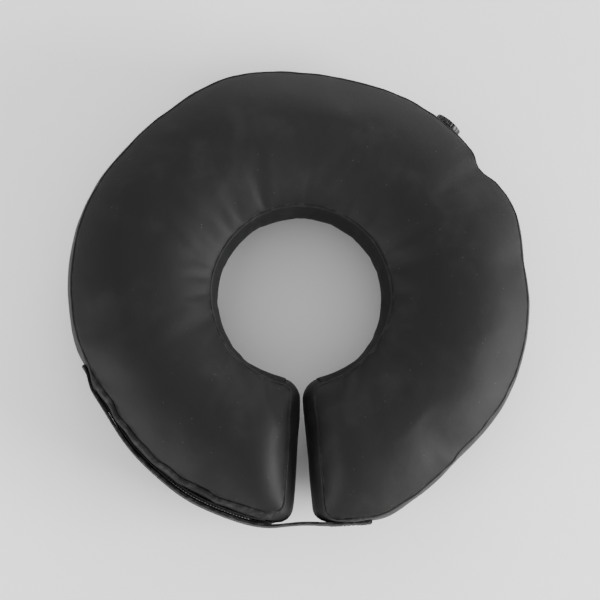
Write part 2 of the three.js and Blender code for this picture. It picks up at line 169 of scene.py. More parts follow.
@dataclass(frozen=True)
class CollarCut:
    """The collar's sizes and blown-up shape, as its solids have them.

    Args:
        outer_diameter: The width of the collar.
        neck_diameter: The width of the neck hole where the band bulges most.
        gusset_height: The height of the walls between the seams.
        front_rise: How far the front panel domes up.
        back_drop: How far the back panel domes down.
        rim_bulge: How far the gusset stands out between its seams.
        neck_bulge: The same for the neck band.
        end_bulge: The same for the two ends.
        slit_at: The angle of the slit.
        slit_at_neck: The slit's width at the neck.
        slit_at_rim: The slit's width at the rim.
        right_corner: The radius of the rim's corner right of the slit.
        left_corner: The same left of the slit.
        neck_corner: The radius of both corners at the neck.
        end_reach: How far from an end the panels reach their full height.
        back_flattening: How many times its real drop the back panel would drop if nothing held it up.
        fullness: How full the tube is across: 2 is a parabola, and more is flatter on top.
        end_fullness: The same at the ends, along the tube.
        seam_shift: How much nearer the outline the rim's seams lie where no strap covers the gusset.
        strap_root: The angle where the strap is sewn on.
        strap_tip: The angle of the strap's free end.
        strap_press: The share of the rim's bulge that the strap presses flat.
        press_span: How many degrees the gusset takes to go from free to pressed.
        tape_thickness: The thickness of both tapes.
        tape_tip: The angle of both tapes' ends near the strap's tip.
        loop_end: The angle of the loop tape's other end.
        hook_end: The angle of the hook tape's other end.
        tip_flat: How many degrees at the strap's tip lie flat on the gusset.
        layer_gap: The gap between the gusset and what lies on it, and between the strap and its tape.
        tape_gap: The gap between the two tapes.
        swells: The outline's swells and dents, as shares of the tube's width.
        folds: The front panel's main folds, as shares of its rise.
    """

    outer_diameter: float = 270.0
    neck_diameter: float = 96.0
    gusset_height: float = 32.0
    front_rise: float = 16.5
    back_drop: float = 15.5
    rim_bulge: float = 3.5
    neck_bulge: float = 4.5
    end_bulge: float = 5.5
    slit_at: float = -89.2
    slit_at_neck: float = 0.9
    slit_at_rim: float = 12.6
    right_corner: float = 6.0
    left_corner: float = 9.0
    neck_corner: float = 5.0
    end_reach: float = 32.0
    back_flattening: float = 1.2
    fullness: float = 2.3
    end_fullness: float = 3.8
    seam_shift: float = 1.4
    strap_root: float = 287.5
    strap_tip: float = 198.0
    strap_press: float = 0.85
    press_span: float = 10.0
    tape_thickness: float = 1.0
    tape_tip: float = 205.0
    loop_end: float = 261.0
    hook_end: float = 257.5
    tip_flat: float = 0.8
    layer_gap: float = 0.65
    tape_gap: float = 0.3
    swells: tuple[Row, ...] = (
        Row(8, 5, -0.014),
        Row(23, 8, 0.025),
        Row(35, 5, -0.041),
        Row(80, 16, -0.015),
        Row(109, 13, 0.032),
        Row(160, 16, 0.026),
        Row(194, 10, -0.011),
        Row(211, 12, -0.055),
        Row(230, 12, -0.037),
        Row(250, 10, -0.021),
        Row(268, 8, -0.028),
        Row(289, 8, 0.03),
        Row(316, 13, -0.039),
    )
    folds: tuple[Row, ...] = (
        Row(34, 7, 0.28, 0.5),
        Row(76, 7, 0.13, 0.36),
        Row(132, 8, 0.14, 0.38),
        Row(188, 7, 0.16, 0.36),
        Row(209, 7, 0.23, 0.42),
        Row(227, 7, 0.28, 0.46),
        Row(245, 7, 0.17, 0.36),
        Row(312, 7, 0.18, 0.4),
        Row(341, 7, 0.12, 0.34),
    )

    @property
    def rim_radius(self) -> float:
        """Half the collar's width."""
        return self.outer_diameter / 2

    @property
    def tube_width(self) -> float:
        """The width of the ring from the neck hole to the rim."""
        return (self.outer_diameter - self.neck_diameter) / 2

    @property
    def neck_seam(self) -> float:
        """The radius of the neck seam."""
        return self.neck_diameter / 2 + self.neck_bulge

    @property
    def back_seam_z(self) -> float:
        """The height of the back seam."""
        return self.back_drop

    @property
    def front_seam_z(self) -> float:
        """The height of the front seam."""
        return self.back_drop + self.gusset_height

    @property
    def middle_z(self) -> float:
        """The height of the middle of the walls."""
        return (self.back_seam_z + self.front_seam_z) / 2

    @property
    def hook_lift(self) -> float:
        """How far the hook tape stands off the rim."""
        return self.layer_gap + self.tape_thickness + self.tape_gap

    def under_strap(self, angle: np.ndarray) -> np.ndarray:
        """How much the strap presses the rim.

        Args:
            angle: Angles round the collar.

        Returns:
            1 where it presses, and 0 past its ends.
        """
        turned = angle % 360.0
        half = self.press_span / 2
        past_tip = smoothstep(turned, self.strap_tip - half, self.strap_tip + half)
        before_root = 1 - smoothstep(turned, self.strap_root - half, self.strap_root + half)
        return past_tip * before_root

    def rim_seam(self, angle: np.ndarray) -> np.ndarray:
        """The radius of the rim's seams, with the outline's swells and dents.

        Args:
            angle: Angles round the collar.

        Returns:
            The radius at each.
        """
        swell = sum_of_rows(self.swells, angle) * self.tube_width
        tight = self.seam_shift * (1 - self.under_strap(angle))
        return self.rim_radius - self.rim_bulge + tight + swell

    def rim_bulge_at(self, angle: np.ndarray) -> np.ndarray:
        """How far the rim's wall stands out at mid height."""
        under = self.under_strap(angle)
        return self.rim_bulge * (1 - self.strap_press * under) - self.seam_shift * (1 - under)

    def rim_face(self, angle: np.ndarray, z: np.ndarray) -> np.ndarray:
        """The radius of the rim's outer face at an angle and a height."""
        share = (z - self.back_seam_z) / self.gusset_height
        return self.rim_seam(angle) + self.rim_bulge_at(angle) * arch(share)

    def strap_lift(self, angle: np.ndarray) -> np.ndarray:
        """How far the strap stands off the rim, as it climbs over the tapes.

        Args:
            angle: Angles from 0 to 360.

        Returns:
            The lift of its inner face at each.
        """
        high = self.hook_lift + self.tape_thickness + self.layer_gap
        halfway = (self.strap_root - self.loop_end) / 2
        over_tapes = 1 - smoothstep(angle, self.loop_end, self.loop_end + halfway)
        past_tip = smoothstep(angle, self.strap_tip + self.tip_flat, self.tape_tip - self.tip_flat / 2)
        return lerp(self.layer_gap, high, over_tapes * past_tip)

    def slit_half(self, radius: np.ndarray) -> np.ndarray:
        """Half the width of the slit at a radius."""
        share = np.clip((radius - self.neck_seam) / (self.rim_radius - self.neck_seam), 0, 1)
        return lerp(self.slit_at_neck, self.slit_at_rim, share) / 2

    @staticmethod
    def setback(past: np.ndarray, size: float) -> np.ndarray:
        """How far a round corner draws back, past its start."""
        drawn = size - np.sqrt(np.maximum(0.0, size**2 - past**2))
        return np.where(past > 0, drawn, 0.0)

    def end_angle(self, radius: np.ndarray, rim: np.ndarray, corner: float) -> np.ndarray:
        """Where the seam of an end lies.

        Args:
            radius: Radii from the neck seam to the rim seam.
            rim: The rim seam's radius.
            corner: The radius of that end's corner at the rim.

        Returns:
            The angle from the slit's middle, in radians.
        """
        at_rim = self.setback(radius - (rim - corner), corner)
        at_neck = self.setback(self.neck_seam + self.neck_corner - radius, self.neck_corner)
        return np.arcsin((self.slit_half(radius) + self.end_bulge + at_rim + at_neck) / radius)

    def plan_point(self, u: np.ndarray, v: np.ndarray) -> np.ndarray:
        """Points of the panels' plan.

        Args:
            u: The share round the ring, from the right end to the left end.
            v: The share from the neck seam to the rim seam.

        Returns:
            The points, with x and y along the last axis.
        """
        angle = self.slit_at + 360.0 * u
        radius = angle
        for _ in range(3):
            rim = self.rim_seam(angle)
            radius = lerp(self.neck_seam, rim, v)
            right = self.end_angle(radius, rim, self.right_corner)
            left = self.end_angle(radius, rim, self.left_corner)
            angle = self.slit_at + np.degrees(lerp(right, 2 * math.pi - left, u))
        turned = np.radians(angle)
        return np.stack((radius * np.cos(turned), radius * np.sin(turned)), axis=-1)

    def away_from_end(self, angle: np.ndarray, radius: np.ndarray) -> np.ndarray:
        """How high the panels stand for their distance from an end.

        Args:
            angle: Angles round the collar.
            radius: Radii that go with them.

        Returns:
            0 at an end's seam, rising smoothly to 1 at the end's reach.
        """
        turn = np.radians(turn_between(self.slit_at, angle))
        beside = np.abs(radius * np.sin(turn)) - self.slit_half(radius) - self.end_bulge
        distance = np.where(np.abs(turn) > math.pi / 2, radius, beside)
        return 1 - (1 - np.clip(distance / self.end_reach, 0, 1)) ** self.end_fullness

    def share_across(self, angle: np.ndarray, radius: np.ndarray) -> np.ndarray:
        """The share of the panel's width from the neck seam to a point."""
        return np.clip((radius - self.neck_seam) / (self.rim_seam(angle) - self.neck_seam), 0, 1)

    def pillow(self, plan: np.ndarray) -> np.ndarray:
        """The shape of air under cloth.

        Args:
            plan: Points in plan.

        Returns:
            0 on the seams and 1 along the middle of the tube.
        """
        angle, radius = polar(plan)
        across = self.share_across(angle, radius)
        return (1 - np.abs(2 * across - 1) ** self.fullness) * self.away_from_end(angle, radius)

    def fold_depth(self, plan: np.ndarray) -> np.ndarray:
        """How deep the front's folds are.

        Args:
            plan: Points in plan.

        Returns:
            The depth at each, as a share of the front's rise.
        """
        angle, radius = polar(plan)
        across = self.share_across(angle, radius)
        total = np.zeros_like(across)
        for row in self.folds:
            along = np.clip((across - 1 + row.reach) / row.reach, 0, 1)
            total += row.size * row.nearness(angle) * arch(along)
        return total

    def front_height(self, plan: np.ndarray, folded: float = 1.0) -> np.ndarray:
        """The height of the front panel, with a share of its folds."""
        rise = self.pillow(plan) - folded * self.fold_depth(plan)
        return self.front_seam_z + self.front_rise * rise

    def back_height(self, plan: np.ndarray) -> np.ndarray:
        """The height of the back panel, which is flat where the collar rests."""
        drop = self.back_drop * self.back_flattening * self.pillow(plan)
        return np.maximum(0.0, self.back_seam_z - drop)


class NodeGraph:
    """Adds nodes to a node tree and joins them."""

    def __init__(self, tree: Tree) -> None:
        """Takes the tree that the nodes go into."""
        self.tree = tree
        self.placed = 0

    def feed(self, node: Node, inputs: Inputs) -> None:
        """Sets a node's inputs to values, or links them to sockets.

        Args:
            node: The node.
            inputs: Values or sockets for its inputs, by name or number.
        """
        for key, value in inputs.items():
            if isinstance(value, Socket):
                self.tree.links.new(value, node.inputs[key])
            else:
                node.inputs[key].default_value = value

    def add(self, kind: str, inputs: Inputs | None = None, **settings: object) -> Node:
        """Adds a node.

        Args:
            kind: The node's type, without its ShaderNode prefix.
            inputs: Values or sockets for its inputs, by name or number.
            settings: Properties of the node.

        Returns:
            The node.
        """
        node = self.tree.nodes.new(kind if kind.startswith("NodeGroup") else "ShaderNode" + kind)
        node.location = (190 * (self.placed % 12), -260 * (self.placed // 12))
        self.placed += 1
        for name, value in settings.items():
            setattr(node, name, value)
        self.feed(node, inputs or {})
        return node

    def maths(self, operation: str, *values: Plug) -> Socket:
        """The result of a Math node on values or sockets."""
        return self.add("Math", dict(enumerate(values)), operation=operation).outputs[0]

    def vector(self, operation: str, inputs: Inputs) -> Socket:
        """The result of a Vector Math node."""
        return self.add("VectorMath", inputs, operation=operation).outputs[0]

    def mix(self, factor: Plug, first: Plug, second: Plug) -> Socket:
        """A colour between two colours."""
        inputs = {0: factor, 6: first, 7: second}
        return self.add("Mix", inputs, data_type="RGBA", clamp_factor=True).outputs[2]

    def laid_over(self, base: Plug, mask: Plug, strength: float, colour: Plug) -> Socket:
        """A colour laid over another where a mask is, at a strength."""
        return self.mix(self.maths("MULTIPLY", mask, strength), base, colour)

    def noise(self, vector: Plug, scale: float, detail: float = 2.0, rough: float = 0.5) -> Socket:
        """A noise texture's value, about 0.5 on average."""
        inputs = {"Vector": vector, "Scale": scale, "Detail": detail, "Roughness": rough}
        return self.add("TexNoise", inputs).outputs[0]

    def between(
        self, value: Plug, low: float, high: float, to_low: float = 0.0, to_high: float = 1.0
    ) -> Socket:
        """A value mapped from one range to another, kept inside it."""
        inputs = {0: value, 1: low, 2: high, 3: to_low, 4: to_high}
        return self.add("MapRange", inputs, interpolation_type="SMOOTHSTEP").outputs[0]

    def bump(self, height: Plug, strength: float, distance: float, **under: Plug) -> Socket:
        """The normal of a height, over an earlier normal where one is given as Normal."""
        inputs = {"Height": height, "Strength": strength, "Distance": distance, **under}
        return self.add("Bump", inputs).outputs[0]


class SurfaceEffects:
    """Node groups that the collar's materials share. Each is built once."""

    def __init__(self) -> None:
        """Builds every group."""
        self.weave = self._weave()
        self.ribs = self._ribs()
        self.handling = self._handling()

    @staticmethod
    def _group(
        name: str, inputs: Sequence[str], outputs: Sequence[str]
    ) -> tuple[NodeGraph, Sockets, Node]:
        """A new group that follows a Vector.

        Args:
            name: The group's name.
            inputs: Its other inputs, which are numbers.
            outputs: Its outputs, which are numbers.

        Returns:
            The group's graph, what comes in, and the node that its results go to.
        """
        group = bpy.data.node_groups.new(name, "ShaderNodeTree")
        group.interface.new_socket("Vector", in_out="INPUT", socket_type="NodeSocketVector")
        for socket in inputs:
            group.interface.new_socket(socket, in_out="INPUT", socket_type="NodeSocketFloat")
        for socket in outputs:
            group.interface.new_socket(socket, in_out="OUTPUT", socket_type="NodeSocketFloat")
        graph = NodeGraph(group)
        return graph, graph.add("NodeGroupInput").outputs, graph.add("NodeGroupOutput")

    def _weave(self) -> Tree:
        """Over-and-under threads in both directions, a little uneven, with a painted highlight that lightens
        each thread's crest.

        Returns:
            The group.
        """
        inputs = ("Pitch", "Unevenness")
        graph, entry, leave = self._group("plain weave", inputs, ("Height", "Painted Thread Highlight"))
        pitch = graph.add("CombineXYZ", {i: entry["Pitch"] for i in range(3)}).outputs[0]
        counted = graph.vector("DIVIDE", {0: entry["Vector"], 1: pitch})
        wander = graph.add("TexNoise", {"Vector": counted, "Scale": 0.13, "Detail": 2.0}).outputs["Color"]
        offset = graph.vector("SUBTRACT", {0: wander, 1: (0.5, 0.5, 0.5)})
        scaled = graph.vector("SCALE", {0: offset, "Scale": entry["Unevenness"]})
        moved = graph.vector("ADD", {0: counted, 1: scaled})
        parts = graph.add("SeparateXYZ", {0: moved}).outputs
        across = graph.maths("SINE", graph.maths("MULTIPLY", parts[0], math.pi))
        along = graph.maths("SINE", graph.maths("MULTIPLY", parts[1], math.pi))
        height = graph.maths("MULTIPLY_ADD", graph.maths("MULTIPLY", across, along), 0.5, 0.5)
        tone = graph.between(graph.noise(moved, 0.9, 1.0), 0.3, 0.7, 0.6, 1.0)
        # The thread shade is a painted highlight: each thread's crest, at a random tone, is coloured
        # lighter.
        graph.feed(leave, {"Height": height, "Painted Thread Highlight": graph.maths("MULTIPLY", tone, height)})
        return graph.tree

    def _ribs(self) -> Tree:
        """Webbing's lengthwise ribs, crossed by its weft in a herringbone, with painted light on the ribs'
        crests and painted shade in the valleys between them.

        Returns:
            The group.
        """
        inputs = ("Rib Pitch", "Weft Pitch")
        graph, entry, leave = self._group("webbing ribs", inputs, ("Height", "Painted Rib Shading"))
        parts = graph.add("SeparateXYZ", {0: entry["Vector"]}).outputs
        ribs = graph.maths("DIVIDE", parts[1], entry["Rib Pitch"])
        weft = graph.maths("DIVIDE", parts[0], entry["Weft Pitch"])
        leaning = graph.maths("ADD", weft, graph.maths("PINGPONG", ribs, 1.0))
        rib = graph.maths("ABSOLUTE", graph.maths("SINE", graph.maths("MULTIPLY", ribs, math.pi)))
        # Painted shading, which is also the ribs' height: 1 on a crest and 0 in the valley between ribs.
        shade = graph.maths("POWER", rib, 0.6)
        pick = graph.maths("SINE", graph.maths("MULTIPLY", leaning, 2 * math.pi))
        graph.feed(leave, {"Height": graph.maths("MULTIPLY_ADD", pick, 0.22, shade), "Painted Rib Shading": shade})
        return graph.tree

    def _handling(self) -> Tree:
        """What handling leaves on cloth: rubbed seams, faint dust, lint and a cloudy tone.

        Returns:
            The group.
        """
        outputs = ("Rub", "Dust", "Lint", "Cloud")
        graph, entry, leave = self._group("handling", ("Seam", "Lint Amount"), outputs)
        place = entry["Vector"]
        broken = graph.between(graph.noise(place, 260.0, 3.0, 0.6), 0.42, 0.68)
        rub = graph.maths("MULTIPLY", graph.between(entry["Seam"], 0.55, 1.0), broken)
        settled = graph.between(graph.noise(place, 34.0, 4.0, 0.62), 0.48, 0.78)
        speck = graph.add("TexVoronoi", {"Vector": place, "Scale": 620.0, "Randomness": 1.0}).outputs
        small = graph.between(speck["Distance"], 0.05, 0.14, 1.0, 0.0)
        tint = graph.add("SeparateColor", {0: speck["Color"]}).outputs[0]
        chosen = graph.maths("GREATER_THAN", tint, graph.maths("SUBTRACT", 1.0, entry["Lint Amount"]))
        lint = graph.maths("MULTIPLY", small, chosen)
        cloud = graph.noise(place, 9.0, 3.0, 0.55)
        graph.feed(leave, {"Rub": rub, "Dust": settled, "Lint": lint, "Cloud": cloud})
        return graph.tree


def grey(value: float, warmth: float = 0.0) -> tuple[float, float, float, float]:
    """A near-neutral colour, a little warmer or cooler."""
    return (value * (1 + warmth), value, value * (1 - warmth), 1.0)


class Surface:
    """A material as it is built: its shader, its graph and the places that patterns follow."""

    def __init__(self, name: str) -> None:
        """Starts a material.

        Args:
            name: The material's name.
        """
        self.material = bpy.data.materials.new(name)
        self.material.use_nodes = True
        self.material.node_tree.nodes.clear()
        self.graph = NodeGraph(self.material.node_tree)
        self.shader = self.graph.add("BsdfPrincipled")
        self.graph.add("OutputMaterial", {"Surface": self.shader.outputs[0]})
        self.place = self.graph.add("TexCoord").outputs["Object"]

    def cut(self) -> Socket:
        """A place on the piece's flat cut."""
        return self.graph.add("UVMap", uv_map="cut").outputs[0]

    def effect(self, group: Tree, inputs: Inputs) -> Sockets:
        """Places a shared effect and gives its outputs."""
        return self.graph.add("Group", inputs, node_tree=group).outputs

    def marks(self, effects: SurfaceEffects, lint: float = 0.0, seams: bool = False) -> Sockets:
        """What handling leaves on the material.

        Args:
            effects: The shared effects.
            lint: The share of places with a speck of lint.
            seams: Whether the piece says where its seams are.

        Returns:
            The rub, dust, lint and cloud.
        """
        inputs = {"Vector": self.place, "Lint Amount": lint}
        if seams:
            inputs["Seam"] = self.graph.add("Attribute", attribute_name="seam").outputs["Fac"]
        return self.effect(effects.handling, inputs)

    def finished(
        self, colour: Plug, roughness: Plug, normal: Plug | None = None, gloss: dict[str, Plug] | None = None
    ) -> Material:
        """Joins the shader up.

        Args:
            colour: The surface's colour.
            roughness: How matt it is.
            normal: Its normal, where it has a relief.
            gloss: The shader's other values, by name.

        Returns:
            The material.
        """
        self.graph.feed(self.shader, {"Base Color": colour, "Roughness": roughness, **(gloss or {})})
        if normal is not None:
            self.graph.feed(self.shader, {"Normal": normal})
        return self.material


@dataclass(frozen=True)
class ClothFinish:
    """Close-woven nylon cloth.

    Args:
        name: The material's name.
        tone: How light the threads are.
        roughness: How matt the cloth is.
        sheen: How strongly it shines at a slant.
        pitch: The spacing of its threads in metres.
        lint: The share of places with a speck of lint.
    """

    name: str
    tone: float = 0.0078
    roughness: float = 0.58
    sheen: float = 0.02
    pitch: float = 0.00062
    lint: float = 0.035

    def material(self, effects: SurfaceEffects) -> Material:
        """Builds the material.

        Args:
            effects: The shared effects.

        Returns:
            The material.
        """
        surface = Surface(self.name)
        graph = surface.graph
        weave = surface.effect(
            effects.weave, {"Vector": surface.cut(), "Pitch": self.pitch, "Unevenness": 0.8}
        )
        marks = surface.marks(effects, self.lint, seams=True)
        clouded = graph.between(marks["Cloud"], 0.3, 0.7)
        dyed = graph.mix(clouded, grey(self.tone * 0.86, -0.02), grey(self.tone * 1.14, 0.01))
        # Painted highlight: the threads' crests are laid over with a lighter grey.
        woven = graph.laid_over(dyed, weave["Painted Thread Highlight"], 0.5, grey(self.tone * 1.9))
        dusty = graph.laid_over(woven, marks["Dust"], 0.05, grey(0.12, 0.04))
        rubbed = graph.laid_over(dusty, marks["Rub"], 0.16, grey(0.12, 0.02))
        colour = graph.laid_over(rubbed, marks["Lint"], 0.4, grey(0.3, 0.03))
        matt = graph.maths("MULTIPLY_ADD", marks["Cloud"], 0.14, self.roughness - 0.07)
        dusty_matt = graph.maths("MULTIPLY_ADD", marks["Dust"], 0.08, matt)
        creases = graph.bump(graph.noise(surface.place, 62.0, 3.0), 0.32, 0.0012)
        threads = graph.bump(weave["Height"], 0.35, 0.00012, Normal=creases)
        gloss = {
            "Specular IOR Level": 0.13,
            "Sheen Weight": self.sheen,
            "Sheen Roughness": 0.42,
            "Sheen Tint": (0.9, 0.92, 0.95, 1.0),
        }
        return surface.finished(colour, dusty_matt, threads, gloss)


@dataclass(frozen=True)
class WebbingFinish:
    """Flat woven webbing with ribs along it.

    Args:
        tone: How light the webbing is: its own black, made darker still as painted shade for the strap's
            face, which turns away from the lamps.
        rib_pitch: The spacing of its ribs in metres.
        weft_pitch: The spacing of the threads across it.
    """

    # The webbing's own black, darkened further as painted shade on the strap's face.
    tone: float = 0.0045
    rib_pitch: float = 0.0016
    weft_pitch: float = 0.0011

    def material(self, effects: SurfaceEffects) -> Material:
        """Builds the material.

        Args:
            effects: The shared effects.

        Returns:
            The material.
        """
        surface = Surface("strap webbing")
        graph = surface.graph
        pitches = {"Rib Pitch": self.rib_pitch, "Weft Pitch": self.weft_pitch}
        ribs = surface.effect(effects.ribs, {"Vector": surface.cut(), **pitches})
        marks = surface.marks(effects, 0.03, seams=True)
        # Painted light and shade: the ribs' crests lighter and the valleys between them darker.
        woven = graph.mix(ribs["Painted Rib Shading"], grey(self.tone * 0.45), grey(self.tone * 1.35))
        rubbed = graph.laid_over(woven, marks["Rub"], 0.25, grey(0.1, 0.02))
        colour = graph.laid_over(rubbed, marks["Lint"], 0.35, grey(0.26, 0.03))
        matt = graph.maths("MULTIPLY_ADD", marks["Cloud"], 0.16, 0.52)
        gloss = {"Specular IOR Level": 0.09, "Sheen Weight": 0.01, "Sheen Roughness": 0.4}
        return surface.finished(colour, matt, graph.bump(ribs["Height"], 0.6, 0.0003), gloss)


class TapeKind(Enum):
    """The two halves of a hook-and-loop fastening."""

    LOOP = "loop pile"
    HOOK = "hook rows"


@dataclass(frozen=True)
class TapeFinish:
    """One half of the fastening: brushed loops, or rows of moulded hooks, with a painted highlight on their
    highest tips.

    Args:
        kind: Which half it is.
        tone: How light it is.
        hook_pitch: The spacing of the hooks in metres.
    """

    kind: TapeKind
    tone: float = 0.007
    hook_pitch: float = 0.0009

    def material(self, effects: SurfaceEffects) -> Material:
        """Builds the material.

        Args:
            effects: The shared effects.

        Returns:
            The material.
        """
        surface = Surface(self.kind.value)
        graph = surface.graph
        marks = surface.marks(effects, 0.03)
        is_loop = self.kind is TapeKind.LOOP
        if is_loop:
            height = graph.noise(surface.cut(), 2300.0, 3.0, 0.7)
            shade = graph.between(height, 0.35, 0.7)
        else:
            even = {"Pitch": self.hook_pitch, "Unevenness": 0.1}
            rows = surface.effect(effects.weave, {"Vector": surface.cut(), **even})
            height = graph.maths("POWER", rows["Height"], 2.5)
            shade = height
        # Painted highlight: lighter where the loops or hooks stand highest, darker in the hollows between
        # them.
        painted_tip_light = graph.mix(shade, grey(self.tone * 0.5), grey(self.tone * 1.6))
        colour = graph.laid_over(painted_tip_light, marks["Lint"], 0.4, grey(0.28, 0.03))
        matt = graph.maths("MULTIPLY_ADD", marks["Cloud"], 0.1, 0.8 if is_loop else 0.45)
        raised = graph.bump(height, 0.7, 0.0007 if is_loop else 0.0009)
        gloss = {"Sheen Weight": 0.1 if is_loop else 0.0, "Sheen Roughness": 0.5}
        return surface.finished(colour, matt, raised, gloss)


@dataclass(frozen=True)
class FilmFinish:
    """Soft grey vinyl film with a faint emboss."""

    name: str = "bladder film"

    def material(self, effects: SurfaceEffects) -> Material:
        """Builds the material.

        Args:
            effects: The shared effects.

        Returns:
            The material.
        """
        surface = Surface(self.name)
        graph = surface.graph
        marks = surface.marks(effects)
        colour = graph.mix(marks["Cloud"], grey(0.46, -0.02), grey(0.62, -0.01))
        matt = graph.maths("MULTIPLY_ADD", marks["Dust"], 0.2, 0.3)
        return surface.finished(colour, matt, graph.bump(graph.noise(surface.place, 900.0), 0.3, 0.0003))


@dataclass(frozen=True)
class PlasticFinish:
    """Moulded black plastic with a fine spark-eroded grain."""

    name: str = "valve plastic"

    def material(self, effects: SurfaceEffects) -> Material:
        """Builds the material.

        Args:
            effects: The shared effects.

        Returns:
            The material.
        """
        surface = Surface(self.name)
        graph = surface.graph
        marks = surface.marks(effects)
        mould = graph.mix(marks["Cloud"], grey(0.008), grey(0.013))
        dusty = graph.laid_over(mould, marks["Dust"], 0.06, grey(0.15, 0.03))
        matt = graph.maths("MULTIPLY_ADD", marks["Dust"], 0.2, 0.36)
        grain = graph.bump(graph.noise(surface.place, 2600.0), 0.25, 0.0001)
        return surface.finished(dusty, matt, grain, {"Specular IOR Level": 0.3})


@dataclass(frozen=True)
class FloorFinish:
    """A pale, nearly even floor."""

    name: str = "pale floor"

    def material(self) -> Material:
        """Builds the material.

        Returns:
            The material.
        """
        surface = Surface(self.name)
        tone = surface.graph.noise(surface.place, 1.2)
        return surface.finished(surface.graph.mix(tone, grey(0.86), grey(0.9)), 0.85)


def deselect_all() -> None:
    """Deselects every object."""
    for item in bpy.context.view_layer.objects:
        item.select_set(False)


def make_active(piece: Piece) -> None:
    """Selects one object alone and makes it the active one.

    Args:
        piece: The object.
    """
    deselect_all()
    piece.select_set(True)
    bpy.context.view_layer.objects.active = piece


def discard(piece: Piece) -> None:
    """Removes an object and its mesh.

    Args:
        piece: The object.
    """
    mesh = piece.data
    bpy.data.objects.remove(piece)
    bpy.data.meshes.remove(mesh)


def quads(rows: int, columns: int, closed: bool = False, looped: bool = False) -> list[Face]:
    """The four-sided faces of points that are numbered row by row.

    Args:
        rows: How many rows of points there are.
        columns: How many points a row has.
        closed: Whether each row's last point is followed by its first.
        looped: Whether the last row is followed by the first.

    Returns:
        The faces, row by row.
    """
    made = []
    for i in range(rows if looped else rows - 1):
        below = i * columns
        above = (i + 1) % rows * columns
        for j in range(columns if closed else columns - 1):
            k = (j + 1) % columns
            made.append((below + j, below + k, above + k, above + j))
    return made


def add_mesh(name: str, points: np.ndarray, faces: Sequence[Face]) -> Piece:
    """Makes an object of points in millimetres.

    Args:
        name: The object's name.
        points: The points, one a row.
        faces: The numbers of each face's points.

    Returns:
        The object, with smooth faces, at the origin.
    """
    mesh = bpy.data.meshes.new(name)
    mesh.from_pydata((points * MM).tolist(), [], faces)
    mesh.polygons.foreach_set("use_smooth", [True] * len(mesh.polygons))
    mesh.update()
    piece = bpy.data.objects.new(name, mesh)
    bpy.context.scene.collection.objects.link(piece)
    return piece


def lay_uv(piece: Piece, flat: np.ndarray) -> None:
    """Gives a mesh its flat cut in metres.

    Args:
        piece: The piece.
        flat: A flat place for each of its points, in millimetres.
    """
    layer = piece.data.uv_layers.new(name="cut")
    corners = np.empty(len(piece.data.loops), dtype=np.int64)
    piece.data.loops.foreach_get("vertex_index", corners)
    layer.data.foreach_set("uv", (flat[corners] * MM).astype(np.float32).ravel())


def mark_seam(piece: Piece, nearness: np.ndarray) -> None:
    """Stores how near each point lies to a seam, from 0 to 1."""
    layer = piece.data.attributes.new("seam", "FLOAT", "POINT")
    layer.data.foreach_set("value", nearness.astype(np.float32))


def apply_modifier(piece: Piece, kind: str, **settings: object) -> None:
    """Adds a modifier and applies it.

    Args:
        piece: The piece.
        kind: The modifier's type.
        settings: Its properties.
    """
    make_active(piece)
    modifier = piece.modifiers.new(kind.lower(), kind)
    for name, value in settings.items():
        setattr(modifier, name, value)
    bpy.ops.object.modifier_apply(modifier=modifier.name)


def dress(piece: Piece, finish: Material, slot: str, *nodes: str) -> None:
    """Gives a piece its finish and its place in the frame.

    Args:
        piece: The piece.
        finish: Its material.
        slot: The record's slot for it. Not used.
        nodes: The solids that it stands for.
    """
    piece.data.materials.clear()
    piece.data.materials.append(finish)
    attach(piece, "root")
    if nodes:
        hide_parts(*nodes)
    LOG.info("%s: %d faces", piece.name, len(piece.data.polygons))


class Panel(Enum):
    """The jacket's four pieces of cloth."""

    FRONT = "front_panel"
    BACK = "back_panel"
    GUSSET = "rim_gusset"
    NECK = "neck_band"

    @property
    def is_ring(self) -> bool:
        """Whether it is a ring panel and not a wall."""
        return self in (Panel.FRONT, Panel.BACK)


